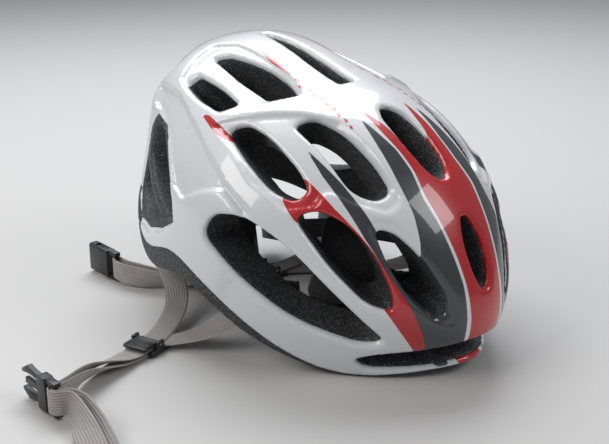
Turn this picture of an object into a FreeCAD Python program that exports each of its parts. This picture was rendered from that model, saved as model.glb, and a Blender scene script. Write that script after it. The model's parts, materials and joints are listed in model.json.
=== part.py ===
import FreeCAD, Part
import math
import os

# A cycling helmet: a painted outer shell bonded to a foam liner with twenty-five vents, comfort pads,
# a rear cradle whose dial draws two toothed arms in and out, and a chin harness with two cam-lock
# dividers and a side-release buckle.
#
# Three frames are used, all in millimetres:
#   head  the helmet worn level, front towards -Y, crown towards +Z, the wearer's left towards +X
#   fit   the cradle at the back of the head, with the dial's axis along +Y
#   row   the part's own frame: the helmet tipped forward as it stands on a table, on the two corners
#         of its brow and on the cradle, with the origin in the middle of its underside
from FreeCAD import Vector

doc = FreeCAD.newDocument("cycling_helmet")
sheet = doc.addObject("Spreadsheet::Sheet", "sizes")

SIZES = [
    # the outer form: half width, front, back, height above the centre and depth below it
    ("half_width", 108.5), ("front_reach", 152.4), ("back_reach", 136.9),
    ("crown_height", 84.6), ("skirt_depth", 201.0),
    ("centre_back", 5.0), ("centre_height", 62.0),
    # the hollow for the head
    ("cavity_half_width", 77.0), ("cavity_front", 101.0), ("cavity_back", 96.0), ("cavity_height", 56.0),
    ("shell_thick", 1.4), ("dot_thick", 1.5), ("pad_thick", 6.5),
    # how the helmet stands: tipped forward, lifted and shifted so that the origin is under its middle
    ("rest_pitch", 22.0), ("rest_lift", 19.0), ("rest_shift", 18.0),
    # the cradle
    ("fit_back", 101.0), ("fit_height", 18.2), ("fit_pitch", -9.0),
    ("housing_wide", 52.0), ("housing_tall", 36.0), ("plate_thick", 2.0), ("rail_tall", 5.0),
    ("gear_gap", 3.8), ("cover_thick", 2.2), ("post_radius", 2.0), ("pinion_thick", 3.0),
    ("pitch_radius", 5.0), ("tooth_count", 10.0), ("running_gap", 0.05),
    ("hub_radius", 3.6), ("hub_gap", 0.25), ("knob_radius", 15.6), ("knob_deep", 8.0),
    ("grip_thick", 1.2), ("grip_deep", 5.5), ("scallop_radius", 2.0), ("scallop_count", 16.0),
    ("screw_radius", 1.2), ("screw_head", 2.2), ("arm_half_width", 70.5), ("arm_centre", -95.0),
    ("arm_front", 120.0), ("arm_reach", 58.0), ("arm_thick", 2.2), ("arm_tall", 14.0),
    ("rack_tall", 5.2), ("rack_thick", 2.6), ("tooth_deep", 2.0),
    ("pivot_back", -147.0), ("tongue_radius", 142.5), ("tongue_thick", 2.0), ("tongue_wide", 15.0),
    # the harness
    ("web_wide", 15.0), ("web_thick", 1.3), ("divider_long", 18.0), ("divider_wide", 21.0),
    ("divider_thick", 3.0), ("pin_radius", 0.9), ("buckle_wide", 25.0), ("buckle_thick", 6.0),
    ("bar_radius", 1.6), ("anchor_long", 24.0), ("anchor_wide", 7.0), ("anchor_tall", 9.0),
]
for line, (alias, value) in enumerate(SIZES, start=1):
    sheet.set("A%d" % line, alias)
    sheet.set("B%d" % line, str(value))
    sheet.setAlias("B%d" % line, alias)
doc.recompute()


def size(alias):
    return float(sheet.get(alias))


CENTRE = Vector(0, size("centre_back"), size("centre_height"))
HEAD = FreeCAD.Placement(Vector(0, size("rest_shift"), size("rest_lift")),
                         FreeCAD.Rotation(Vector(1, 0, 0), size("rest_pitch")))
FIT = FreeCAD.Placement(Vector(0, size("fit_back"), size("fit_height")),
                        FreeCAD.Rotation(Vector(1, 0, 0), size("fit_pitch")))
ROW = FreeCAD.Placement()
nodes = []


def finished(item, name, placement):
    """Names an object as one of the part's pieces and puts it in its place."""
    item.Label = name
    item.Placement = placement
    nodes.append(item)
    return item


def feature(name, shape, placement=ROW):
    item = doc.addObject("Part::Feature", "piece_" + name)
    item.Shape = shape
    return finished(item, name, placement)


# ---------------------------------------------------------------------------------------------------
# The helmet's form
# ---------------------------------------------------------------------------------------------------
OUTER = {"side": size("half_width"), "front": size("front_reach"), "back": size("back_reach"),
         "up": size("crown_height"), "down": size("skirt_depth"),
         "cross_front": 2.0, "cross_back": 2.2, "along_front": 1.68, "along_back": 2.42,
         "side_slope": -0.10, "side_bow": -0.16, "top_slope": -0.16, "top_bow": 0.08}
CAVITY = {"side": size("cavity_half_width"), "front": size("cavity_front"), "back": size("cavity_back"),
          "up": size("cavity_height"), "down": size("skirt_depth"),
          "cross_front": 2.1, "cross_back": 2.1, "along_front": 2.3, "along_back": 2.3,
          "side_slope": 0.0, "side_bow": 0.0, "top_slope": -0.05, "top_bow": 0.0}


def reach(form, x, y, z):
    """Distance from the centre to a form's surface, along the unit direction (x, y, z)."""
    back = 0.5 + 0.5 * math.tanh(y / 0.3)
    above = 0.5 + 0.5 * math.tanh(z / 0.15)
    long = form["front"] * (1 - back) + form["back"] * back
    cross = form["cross_front"] * (1 - back) + form["cross_back"] * back
    along = form["along_front"] * (1 - back) + form["along_back"] * back
    side = form["side"] * (1 + form["side_slope"] * y + form["side_bow"] * y * y)
    top = form["up"] * (1 + form["top_slope"] * y + form["top_bow"] * y * y)
    tall = top * above + form["down"] * (1 - above)
    section = (abs(x / side) ** cross + abs(z / tall) ** cross) ** (along / cross)
    return (section + abs(y / long) ** along) ** (-1 / along)


HUB_Y = -18.0  # the level curves of every form are drawn round this line


def level_curve(form, inset, height):
    """The closed curve in which a form, moved inwards by inset, crosses a level plane."""
    points = []
    steps = 36
    for step in range(steps):
        turn = 2 * math.pi * (step + 0.5) / steps
        near, far = 0.0, 240.0
        for _ in range(34):
            middle = (near + far) / 2
            spot = Vector(middle * math.sin(turn), HUB_Y - middle * math.cos(turn), height) - CENTRE
            away = spot.Length
            inside = away < reach(form, spot.x / away, spot.y / away, spot.z / away) - inset
            near, far = (middle, far) if inside else (near, middle)
        points.append(Vector(near * math.sin(turn), HUB_Y - near * math.cos(turn), height))
    curve = Part.BSplineCurve()
    curve.interpolate(Points=points, PeriodicFlag=True, Parameters=[k / steps for k in range(steps + 1)])
    return Part.Wire(curve.toShape())


def dome(form, inset=0.0, low=-12.0):
    """A solid bounded by a form, moved inwards by inset, down to the height low."""
    angles = [math.radians(a) for a in range(-60, 60)]
    top = max(CENTRE.z + (reach(form, 0, math.sin(a), math.cos(a)) - inset) * math.cos(a) for a in angles)
    count = 13
    heights = [low + (top - 0.35 - low) * (1 - (1 - k / count) ** 2) for k in range(count + 1)]
    return Part.makeLoft([level_curve(form, inset, height) for height in heights], True, False)


def roll_tilt(roll, tilt):
    """A direction from the centre: roll from the crown to the left side, tilt towards the back."""
    a, b = math.radians(roll), math.radians(tilt)
    return Vector(math.sin(a) * math.cos(b), math.sin(b), math.cos(a) * math.cos(b))


def turn_rise(turn, rise):
    """A direction from the centre: turn from the front round to the left side, rise above level."""
    a, b = math.radians(turn), math.radians(rise)
    return Vector(math.sin(a) * math.cos(b), -math.cos(a) * math.cos(b), math.sin(b))


# Each vent: how its corners are given, and (angle, angle, corner radius) for each corner. The outline
# is drawn on a plane one hundred millimetres from the centre. A radius of ROUND is as large as fits.
ROUND = 99
MIDDLE_VENTS = {
    "crown": (roll_tilt, [(5, 4, 2), (5, 20, ROUND), (4, 37, ROUND), (2.2, 50, 3)]),
    "middle": (roll_tilt, [(2.5, -17.5, ROUND), (6.5, -23, ROUND), (8, -36, ROUND), (6.5, -46, ROUND),
                           (2.5, -49.5, ROUND)]),
    "nose": (roll_tilt, [(2.5, -60, ROUND), (8, -65, ROUND), (10, -72, ROUND), (5, -77, ROUND)]),
    "tail": (turn_rise, [(175, 27, 4), (171, 12, ROUND), (174, -4, 5)]),
    "brow": (turn_rise, [(0.01, 3.5, ROUND), (12, -1.5, ROUND), (22, -6.5, ROUND), (28, -11.5, 3),
                         (24, -13.5, ROUND), (12, -8.5, ROUND), (0.01, -3.5, ROUND)]),
}
SIDE_VENTS = {
    "rear_upper": (roll_tilt, [(34.5, 50, 5), (28, 47, 6), (21.5, 30, ROUND), (21.5, 16, ROUND),
                               (24.5, 6.5, 4), (35.5, 12, 4), (36.5, 30, ROUND)]),
    "rear_lower": (roll_tilt, [(53, 46, 4), (46, 45.5, 3), (44, 32, ROUND), (44.5, 18, 3),
                               (52, 22, 4), (54, 34, ROUND)]),
    "upper": (roll_tilt, [(37, -6, ROUND), (29, -8, ROUND), (24.5, -20, ROUND), (24.5, -37, ROUND),
                          (27, -46.5, 6), (35, -46, ROUND), (40.5, -39, ROUND), (37.5, -24, ROUND)]),
    "lower": (roll_tilt, [(55, 11.5, ROUND), (48, 8, ROUND), (46, -5, ROUND), (48, -22, ROUND),
                          (51, -29, ROUND), (57, -28, ROUND), (60, -20, ROUND), (58, -5, ROUND)]),
    "front_upper": (roll_tilt, [(44.5, -50, ROUND), (39, -54.5, ROUND), (36.5, -63, ROUND),
                                (41, -74, ROUND), (52, -77, ROUND), (62, -75.5, ROUND),
                                (60, -68, ROUND), (52, -58, ROUND)]),
    "front_lower": (roll_tilt, [(61.5, -30.5, ROUND), (54, -34.5, ROUND), (50.5, -44, ROUND),
                                (53, -55, ROUND), (63, -63.5, ROUND), (73, -66.5, 6),
                                (76, -60, ROUND), (69, -47, ROUND)]),
    "side": (roll_tilt, [(85, -7, ROUND), (77, -7.5, ROUND), (71, -17, ROUND), (70.5, -34, ROUND),
                         (80, -54, ROUND), (97, -68, 5), (102.5, -62, ROUND), (98.5, -43, ROUND),
                         (91, -24, ROUND)]),
    "corner_upper": (turn_rise, [(101, 0, 3), (107, 5, ROUND), (116, 9.5, ROUND), (129, 12.5, 6),
                                 (137, 10.5, 4), (137, -2, 4), (121, -4.5, ROUND), (106, -4.5, 3)]),
    "corner_lower": (turn_rise, [(109, -8.5, 3), (121, -9, ROUND), (137, -7, 4), (144, -9, 5),
                                 (144, -19, 5), (132, -22, ROUND), (118, -16.5, ROUND)]),
    "tail_side": (turn_rise, [(153, 20, 5), (165, 24, 5), (167, 8, ROUND), (163, -8, 5), (152, -9, 5),
                              (150, 5, ROUND)]),
}


def rounded(points, radii):
    """A closed wire through corner points, each corner rounded by an arc no larger than fits."""
    count = len(points)
    edges = []
    ends = []
    for k, corner in enumerate(points):
        before, after = points[k - 1] - corner, points[(k + 1) % count] - corner
        turn = math.pi - before.getAngle(after)
        room = 0.48 * min(before.Length, after.Length)
        back = min(room, radii[k] * math.tan(turn / 2))
        radius = back / math.tan(turn / 2)
        inward = (before.normalize() + after.normalize()).normalize()
        middle = corner + inward * (radius / math.cos(turn / 2) - radius)
        ends.append((corner + before * back, middle, corner + after * back))
    for k, (start, middle, end) in enumerate(ends):
        edges.append(Part.Arc(start, middle, end).toShape())
        edges.append(Part.LineSegment(end, ends[(k + 1) % count][0]).toShape())
    return Part.Wire(edges)


PLANE_AT = 100.0


def cone(directions, radii, near, far):
    """A solid that widens from the centre through an outline, between two distances."""
    axis = Vector(0, 0, 0)
    for direction in directions:
        axis += direction
    axis.normalize()
    flat = [direction * (PLANE_AT / direction.dot(axis)) for direction in directions]
    wires = []
    for distance in (near, far):
        wire = rounded([point * (distance / PLANE_AT) for point in flat],
                       [radius * distance / PLANE_AT for radius in radii])
        wire.translate(CENTRE)
        wires.append(wire)
    return Part.makeLoft(wires, True, True)


def mirrored(shape):
    return shape.mirror(Vector(0, 0, 0), Vector(1, 0, 0))


def vent_cones(near, far):
    cones = []
    for make, corners in MIDDLE_VENTS.values():
        left = [corner for corner in corners if abs(corner[0]) > 0.1]
        half = [make(*corner[:2]) for corner in corners]
        other = [Vector(-d.x, d.y, d.z) for d, c in zip(half, corners) if c in left]
        radii = [corner[2] for corner in corners] + [corner[2] for corner in reversed(left)]
        cones.append(cone(half + other[::-1], radii, near, far))
    for make, corners in SIDE_VENTS.values():
        one = cone([make(*corner[:2]) for corner in corners], [corner[2] for corner in corners], near, far)
        cones += [one, mirrored(one)]
    return cones


def below(stations):
    """Everything below a rim line, given as (back, height) stations."""
    curve = Part.BSplineCurve()
    curve.interpolate([Vector(0, y, z) for y, z in stations])
    first, last = Vector(0, *stations[0]), Vector(0, *stations[-1])
    deep = -60.0
    corners = [last, Vector(0, last.y, deep), Vector(0, first.y, deep), first]
    lines = [Part.LineSegment(a, b).toShape() for a, b in zip(corners, corners[1:])]
    face = Part.Face(Part.Wire([curve.toShape()] + lines))
    face.translate(Vector(-130, 0, 0))
    return face.extrude(Vector(260, 0, 0))


# (back, height) of the foam's lower rim and of the shell's edge above it
FOAM_RIM = [(-190, 66), (-150, 49), (-110, 24), (-70, 20.5), (-45, 25), (-15, 32), (8, 27), (32, 11),
            (90, 7), (170, 3)]
SHELL_RIM = [(-190, 66.5), (-150, 49.6), (-108, 25), (-75, 25), (-52, 32), (-12, 43), (22, 36),
             (46, 18), (90, 13), (170, 8)]

# ---------------------------------------------------------------------------------------------------
# Shell, foam liner and what is bonded into it
# ---------------------------------------------------------------------------------------------------
SIDES = {"left": 1, "right": -1}
# the harness anchors, in the head frame: half spacing, back, height of the underside
ANCHORS = {"front": (88, -32, 29.5), "rear": (80, 62, 10.0)}


def anchor_block(side, place):
    """The block of one harness anchor, standing in the foam with its underside near the rim."""
    x, y, z = ANCHORS[place]
    wide, long, tall = size("anchor_wide"), size("anchor_long"), size("anchor_tall")
    return Part.makeBox(wide, long, tall, Vector(side * x - wide / 2, y - long / 2, z))


def make_anchors():
    for word, side in SIDES.items():
        for place, (x, y, z) in ANCHORS.items():
            slot_wide, slot_long = size("web_thick") + 1.3, size("web_wide") + 2
            slot = Part.makeBox(slot_wide, slot_long, 5, Vector(side * x - slot_wide / 2, y - slot_long / 2, z))
            feature("%s_%s_anchor" % (word, place), anchor_block(side, place).cut(slot), HEAD)


def make_helmet():
    shell_inside = dome(OUTER, size("shell_thick"))
    cones = vent_cones(36, 185)
    shell = dome(OUTER).cut([shell_inside, below(SHELL_RIM)] + cones)
    feature("outer_shell", shell, HEAD)
    blocks = [anchor_block(side, place) for side in SIDES.values() for place in ANCHORS]
    foam = shell_inside.cut([dome(CAVITY, 0, -20), below(FOAM_RIM)] + cones + blocks)
    feature("foam_liner", foam, HEAD)


# Pads: name, how the corners are given, corners, and the directions of the discs that hold the pad
PADS = {
    "brow_pad": (turn_rise, [(45, 26, 8), (27, 27, 8), (17, 8, ROUND), (-17, 8, ROUND), (-27, 27, 8),
                             (-45, 26, 8), (-44, -9, 8),
                             (-24, -14, ROUND), (24, -14, ROUND), (44, -9, 8)],
                 [(0, -3), (33, -2), (-33, -2)]),
    "crown_pad": (roll_tilt, [(7, -14, 4), (7, 0, 4), (-7, 0, 4), (-7, -14, 4)], [(0, -7)]),
}
SIDE_PADS = {
    "top_pad": (roll_tilt, [(12, -46, 4), (12, 42, 4), (19, 42, 4), (20.5, 0, ROUND), (21, -46, 4)], [(16, -36), (15.5, 32)]),
    "temple_pad": (roll_tilt, [(61.5, -24, 4), (62, 0, ROUND), (61, 26, 4), (70, 26, 4), (69, -12, 4)],
                   [(65, 18), (65.5, -14)]),
}


def make_pads():
    cavity = dome(CAVITY, 0, -20)
    under = dome(CAVITY, size("dot_thick"), -20)
    inside = dome(CAVITY, size("dot_thick") + size("pad_thick"), -20)
    dots = []

    def padding(make, corners):
        return under.cut(inside).common(cone([make(a, b) for a, b, _ in corners],
                                             [c for _, _, c in corners], 20, 130))

    def disc(direction):
        stem = Part.makeCylinder(6.5, 40, CENTRE + direction * 70, direction)
        near = Part.makeCylinder(6.5, 60, CENTRE + direction * 40, direction)
        return near.fuse(stem).common(cavity.cut(under))

    for name, (make, corners, spots) in PADS.items():
        feature(name, padding(make, corners), HEAD)
        dots += [disc(make(*spot)) for spot in spots]
    for name, (make, corners, spots) in SIDE_PADS.items():
        shape = padding(make, corners)
        feature("left_" + name, shape, HEAD)
        feature("right_" + name, mirrored(shape), HEAD)
        for spot in spots:
            one = disc(make(*spot))
            dots += [one, mirrored(one)]
    feature("pad_discs", Part.makeCompound([solid for dot in dots for solid in dot.Solids]), HEAD)


# ---------------------------------------------------------------------------------------------------
# The rear cradle, in the fit frame
# ---------------------------------------------------------------------------------------------------
def sketch(body, role, lines=(), circles=(), offset=0.0):
    """A sketch on one of a body's origin planes, from closed polygons and circles."""
    plane = [f for f in body.Origin.OriginFeatures if f.Role == role][0]
    item = body.newObject("Sketcher::SketchObject", body.Name + "_sketch")
    item.AttachmentSupport = (plane, [""])
    item.MapMode = "FlatFace"
    item.AttachmentOffset = FreeCAD.Placement(Vector(0, 0, offset), FreeCAD.Rotation())
    for corners in lines:
        spots = [Vector(a, b, 0) for a, b in corners]
        for start, end in zip(spots, spots[1:] + spots[:1]):
            item.addGeometry(Part.LineSegment(start, end), False)
    for a, b, radius in circles:
        item.addGeometry(Part.Circle(Vector(a, b, 0), Vector(0, 0, 1), radius), False)
    return item


def pad(body, drawing, length, reversed_way=False):
    item = body.newObject("PartDesign::Pad", body.Name + "_pad")
    item.Profile = drawing
    item.setExpression("Length", length)
    item.Reversed = reversed_way
    doc.recompute()
    return item


def rectangle(a0, b0, a1, b1):
    return [(a0, b0), (a1, b0), (a1, b1), (a0, b1)]


def new_body(name):
    return doc.addObject("PartDesign::Body", "body_" + name)


def boxes(name, placement, blocks, cuts=()):
    """A piece fused from boxes bound to the sheet, less cutting shapes.

    Each block is (length, width, height) as expressions, and the place of its lowest corner.
    """
    parts = []
    for lengths, corner in blocks:
        item = doc.addObject("Part::Box", name + "_block")
        for key, expression in zip(("Length", "Width", "Height"), lengths):
            item.setExpression(key, expression)
        item.Placement.Base = Vector(*corner)
        parts.append(item)
    result = parts[0]
    if len(parts) > 1:
        result = doc.addObject("Part::MultiFuse", name + "_fuse")
        result.Shapes = parts
    if cuts:
        tool = doc.addObject("Part::Feature", name + "_tool")
        tool.Shape = Part.makeCompound(list(cuts))
        whole = result
        result = doc.addObject("Part::Cut", name + "_cut")
        result.Base = whole
        result.Tool = tool
    doc.recompute()
    return finished(result, name, placement)


def cylinder_y(radius, start, end, x=0.0, z=0.0):
    return Part.makeCylinder(radius, end - start, Vector(x, start, z), Vector(0, 1, 0))


PLATE_BACK = -3.0  # the head-side plate ends and the gear space begins
COVER_AT = PLATE_BACK + size("gear_gap")
SCREWS = [(x, z) for x in (-22.5, 22.5) for z in (-15.5, 15.5)]


def make_housing():
    wide, tall, rail = size("housing_wide"), size("housing_tall"), size("rail_tall")
    holes = [cylinder_y(size("screw_radius"), PLATE_BACK - 1, COVER_AT + 5, x, z) for x, z in SCREWS]
    body = new_body("gear_housing")
    plate = rectangle(-wide / 2, -tall / 2, wide / 2, tall / 2)
    # the XZ plane's normal is -Y, so an offset of 3 is at -3 and the plate grows towards -Y
    pad(body, sketch(body, "XZ_Plane", [plate], offset=-PLATE_BACK), "sizes.plate_thick")
    rails = [rectangle(-wide / 2, tall / 2 - rail, wide / 2, tall / 2),
             rectangle(-wide / 2, -tall / 2, wide / 2, rail - tall / 2)]
    pad(body, sketch(body, "XZ_Plane", rails, offset=-PLATE_BACK), "sizes.gear_gap", True)
    pad(body, sketch(body, "XZ_Plane", [], [(0, 0, size("post_radius"))], -PLATE_BACK),
        "sizes.pinion_thick + 0.1", True)
    cut = doc.addObject("Part::Cut", "housing_holes")
    tool = doc.addObject("Part::Feature", "housing_drills")
    tool.Shape = Part.makeCompound(holes)
    cut.Base = body
    cut.Tool = tool
    doc.recompute()
    finished(cut, "gear_housing", FIT)
    body = new_body("housing_cover")
    rings = [(0, 0, size("hub_radius") + size("hub_gap"))]
    rings += [(x, z, size("screw_radius")) for x, z in SCREWS]
    pad(body, sketch(body, "XZ_Plane", [plate], rings, -COVER_AT), "sizes.cover_thick", True)
    finished(body, "housing_cover", FIT)
    screws = []
    for x, z in SCREWS:
        face = COVER_AT + size("cover_thick")
        shank = cylinder_y(size("screw_radius"), PLATE_BACK, face, x, z)
        head = cylinder_y(size("screw_head"), face, face + 1.2, x, z)
        cross = Part.makeBox(2.6, 0.7, 0.6, Vector(x - 1.3, face + 0.6, z - 0.3))
        screws.append(shank.fuse(head).cut(cross))
    feature("cover_screws", Part.makeCompound([s for screw in screws for s in screw.Solids]), FIT)


def pinion_outline():
    """Teeth with straight flanks, thin enough to run freely with the racks."""
    count = int(size("tooth_count"))
    radius, deep = size("pitch_radius"), size("tooth_deep")
    tip, root = radius + deep / 2 - 0.15, radius - deep / 2 - 0.15
    points = []
    for k in range(count):
        middle = 2 * math.pi * k / count + math.pi / 2
        for at, half in ((root, -0.95), (tip, -0.40), (tip, 0.40), (root, 0.95)):
            angle = middle + math.asin(half / at)
            points.append((at * math.cos(angle), at * math.sin(angle)))
    return points


def make_dial():
    bore = size("post_radius") + size("running_gap")
    body = new_body("drive_pinion")
    drawing = sketch(body, "XZ_Plane", [pinion_outline()], [(0, 0, bore)], -(PLATE_BACK + 0.3))
    pad(body, drawing, "sizes.pinion_thick", True)
    hub_from = PLATE_BACK + 0.3 + size("pinion_thick")
    drawing = sketch(body, "XZ_Plane", [], [(0, 0, size("hub_radius"))], -hub_from)
    pad(body, drawing, "sizes.cover_thick + 3.4", True)
    finished(body, "drive_pinion", FIT)
    hub_end = hub_from + size("cover_thick") + 3.4
    # the knob: a shallow cap with a socket for the hub and a groove round it for the rubber grip
    start = COVER_AT + size("cover_thick") + 0.5
    end = start + size("knob_deep")
    rim, hub = size("knob_radius"), size("hub_radius")
    inner = rim - size("grip_thick")
    groove = start + 1.2
    profile = [(hub, start + 1.5), (rim - 3, start + 1.5), (rim - 3, start), (rim, start), (rim, groove),
               (inner, groove), (inner, groove + size("grip_deep")), (rim - 0.6, groove + size("grip_deep")),
               (rim - 2.2, end), (3.2, end), (3.2, end - 1.4), (0, end - 1.4), (0, hub_end), (hub, hub_end)]
    body = new_body("dial_knob")
    drawing = sketch(body, "XY_Plane", [profile])
    turned = body.newObject("PartDesign::Revolution", "knob_revolution")
    turned.Profile = drawing
    axis = [f for f in body.Origin.OriginFeatures if f.Role == "Y_Axis"][0]
    turned.ReferenceAxis = (axis, [""])
    turned.Angle = 360
    doc.recompute()
    finished(body, "dial_knob", FIT)
    # the rubber grip: a ring with a scallop under each finger place
    body = new_body("dial_grip")
    ring = [(0, 0, rim + 0.8), (0, 0, inner)]
    pad(body, sketch(body, "XZ_Plane", [], ring, -groove), "sizes.grip_deep", True)
    scallop = sketch(body, "XZ_Plane", [], [(0, rim + 2.2, size("scallop_radius"))], -groove)
    pocket = body.newObject("PartDesign::Pocket", "grip_pocket")
    pocket.Profile = scallop
    pocket.setExpression("Length", "sizes.grip_deep")
    pocket.Reversed = False
    doc.recompute()
    pattern = body.newObject("PartDesign::PolarPattern", "grip_pattern")
    pattern.Originals = [pocket]
    axis = [f for f in body.Origin.OriginFeatures if f.Role == "Y_Axis"][0]
    pattern.Axis = (axis, [""])
    pattern.Angle = 360
    pattern.setExpression("Occurrences", "sizes.scallop_count")
    body.Tip = pattern
    doc.recompute()
    finished(body, "dial_grip", FIT)
    cap = cylinder_y(3.2, end - 1.4, end - 0.2)
    feature("dial_cap", cap.cut(Part.makeBox(4.4, 0.8, 0.8, Vector(-2.2, end - 0.8, -0.4))), FIT)


def rack_outline(start, end):
    """A rack's outline in x and z, teeth down, meshing with the top of the pinion."""
    radius, deep = size("pitch_radius"), size("tooth_deep")
    pitch = 2 * math.pi * radius / size("tooth_count")
    root, tip, top = radius + deep / 2 + 0.15, radius - deep / 2 + 0.15, radius + deep / 2 + size("rack_tall")
    points = [(start, top), (start, root)]
    first = math.ceil((start + 1.2) / pitch - 0.5) + 0.5
    at = first
    while at * pitch < end - 1.2:
        middle = at * pitch
        points += [(middle - 0.95, root), (middle - 0.40, tip), (middle + 0.40, tip), (middle + 0.95, root)]
        at += 1
    return points + [(end, root), (end, top)]


def ellipse_edge(half_width, half_length, start, end):
    """Part of an ellipse about the arms' centre, from one angle to another off the +Y direction."""
    centre = Vector(0, size("arm_centre"), 0)
    ellipse = Part.Ellipse(centre + Vector(0, half_length, 0), centre + Vector(half_width, 0, 0), centre)
    arc = Part.ArcOfEllipse(ellipse, min(start, end), max(start, end))
    return arc.toShape()


RACK_SPAN = (-17.0, 37.0)


def make_arm_shape():
    """The left arm: a toothed rack, a knuckle beside the housing and a band to the temple."""
    rack_back = PLATE_BACK + 0.5
    rack = Part.Face(Part.makePolygon([Vector(x, rack_back, z) for x, z in rack_outline(*RACK_SPAN)]
                                      + [Vector(RACK_SPAN[0], rack_back, rack_outline(*RACK_SPAN)[0][1])]))
    rack = rack.extrude(Vector(0, size("rack_thick"), 0))
    half, long = size("arm_half_width"), -size("arm_centre")
    thick, tall = size("arm_thick"), size("arm_tall")
    start_x = 39.0
    out, inn = half + thick / 2, half - thick / 2
    front, reach_y = size("arm_front"), size("arm_reach")
    edges = [ellipse_edge(out, long + thick / 2, math.asin(start_x / out), math.pi / 2),
             ellipse_edge(out, front + thick / 2, math.pi / 2, math.acos(-reach_y / (front + thick / 2))),
             ellipse_edge(inn, long - thick / 2, math.asin(start_x / inn), math.pi / 2),
             ellipse_edge(inn, front - thick / 2, math.pi / 2, math.acos(-reach_y / (front - thick / 2)))]
    for one, other in ((0, 2), (1, 3)):
        ends = [edges[k].Vertexes for k in (one, other)]
        pick = min if one == 0 else max
        a, b = [pick((v.Point for v in vs), key=lambda p: abs(p.x - start_x) if one == 0 else -p.y)
                for vs in ends]
        edges.append(Part.LineSegment(a, b).toShape())
    face = Part.Face(Part.Wire(Part.__sortEdges__(edges)))
    band = face.extrude(Vector(0, 0, tall))
    band.translate(Vector(0, 0, -tall / 2))
    top = rack_outline(*RACK_SPAN)[0][1]
    deep = 20.0
    knuckle = Part.makeBox(9, deep, top + tall / 2,
                           Vector(35.0, rack_back + size("rack_thick") - deep, -tall / 2))
    end_x = half * math.sqrt(1 - (reach_y / front) ** 2)
    eye = Part.makeCylinder(3.2, 12, Vector(end_x - 6, size("pivot_back"), 0), Vector(1, 0, 0))
    return rack.fuse([band, knuckle]).removeSplitter().cut(eye)


def make_arms():
    left = make_arm_shape()
    feature("left_arm", left, FIT)
    # the right arm is the same moulding turned over about the dial's axis
    over = FreeCAD.Placement(Vector(), FreeCAD.Rotation(Vector(0, 1, 0), 180))
    feature("right_arm", left.copy(), FIT.multiply(over))
    # each temple clip is a block set in the foam with a stud that stands in the arm's eye
    block = Part.makeBox(6.0, 12, 12, Vector(68.5, -6, -6))
    stud = Part.makeCylinder(2.0, 9.0, Vector(60.0, 0, 0), Vector(1, 0, 0))
    clip = block.fuse(stud)
    pivot = FreeCAD.Placement(Vector(0, size("pivot_back"), 0), FreeCAD.Rotation())
    feature("left_temple_clip", clip, FIT.multiply(pivot))
    feature("right_temple_clip", clip.copy(), FIT.multiply(pivot).multiply(over))


def make_tongue():
    """A strip bent round the cradle's tilt axis, and the loop in the liner that it slides through."""
    radius, thick, wide = size("tongue_radius"), size("tongue_thick"), size("tongue_wide")
    pivot = Vector(0, size("pivot_back"), 0)
    start = math.asin((size("housing_tall") / 2) / radius)

    def sector(inner, outer, a, b, width):
        def spot(r, t):
            return pivot + Vector(-width / 2, r * math.cos(t), r * math.sin(t))
        middle = (a + b) / 2
        wire = Part.Wire([Part.Arc(spot(outer, a), spot(outer, middle), spot(outer, b)).toShape(),
                          Part.LineSegment(spot(outer, b), spot(inner, b)).toShape(),
                          Part.Arc(spot(inner, b), spot(inner, middle), spot(inner, a)).toShape(),
                          Part.LineSegment(spot(inner, a), spot(outer, a)).toShape()])
        return Part.Face(wire).extrude(Vector(width, 0, 0))

    inner, outer = radius, radius + thick
    tongue = sector(inner, outer, start, math.radians(31.0), wide)
    feature("height_tongue", tongue, FIT)
    gap = 0.4
    a, b = math.radians(19.0), math.radians(23.0)
    loop = sector(inner - gap - 1.6, outer + gap + 1.6, a, b, wide + 2 * gap + 3.2)
    hole = sector(inner - gap, outer + gap, math.radians(18.0), math.radians(24.0), wide + 2 * gap)
    middle = math.radians(21.0)
    face = pivot + Vector(-4, (outer + gap + 1.0) * math.cos(middle), (outer + gap + 1.0) * math.sin(middle) - 1.6)
    peg = Part.makeBox(8, 10, 3.2, face)
    feature("tongue_loop", loop.cut(hole).fuse(peg), FIT)


def make_nape_pads():
    for word, side in SIDES.items():
        block = Part.makeBox(20, 4, 30, Vector(side * 13.5 - 10, PLATE_BACK - size("plate_thick") - 4, -15))
        edges = [e for e in block.Edges if abs(e.Vertexes[0].Y - e.Vertexes[1].Y) > 3]
        feature("%s_nape_pad" % word, block.makeFillet(5, edges), FIT)


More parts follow.
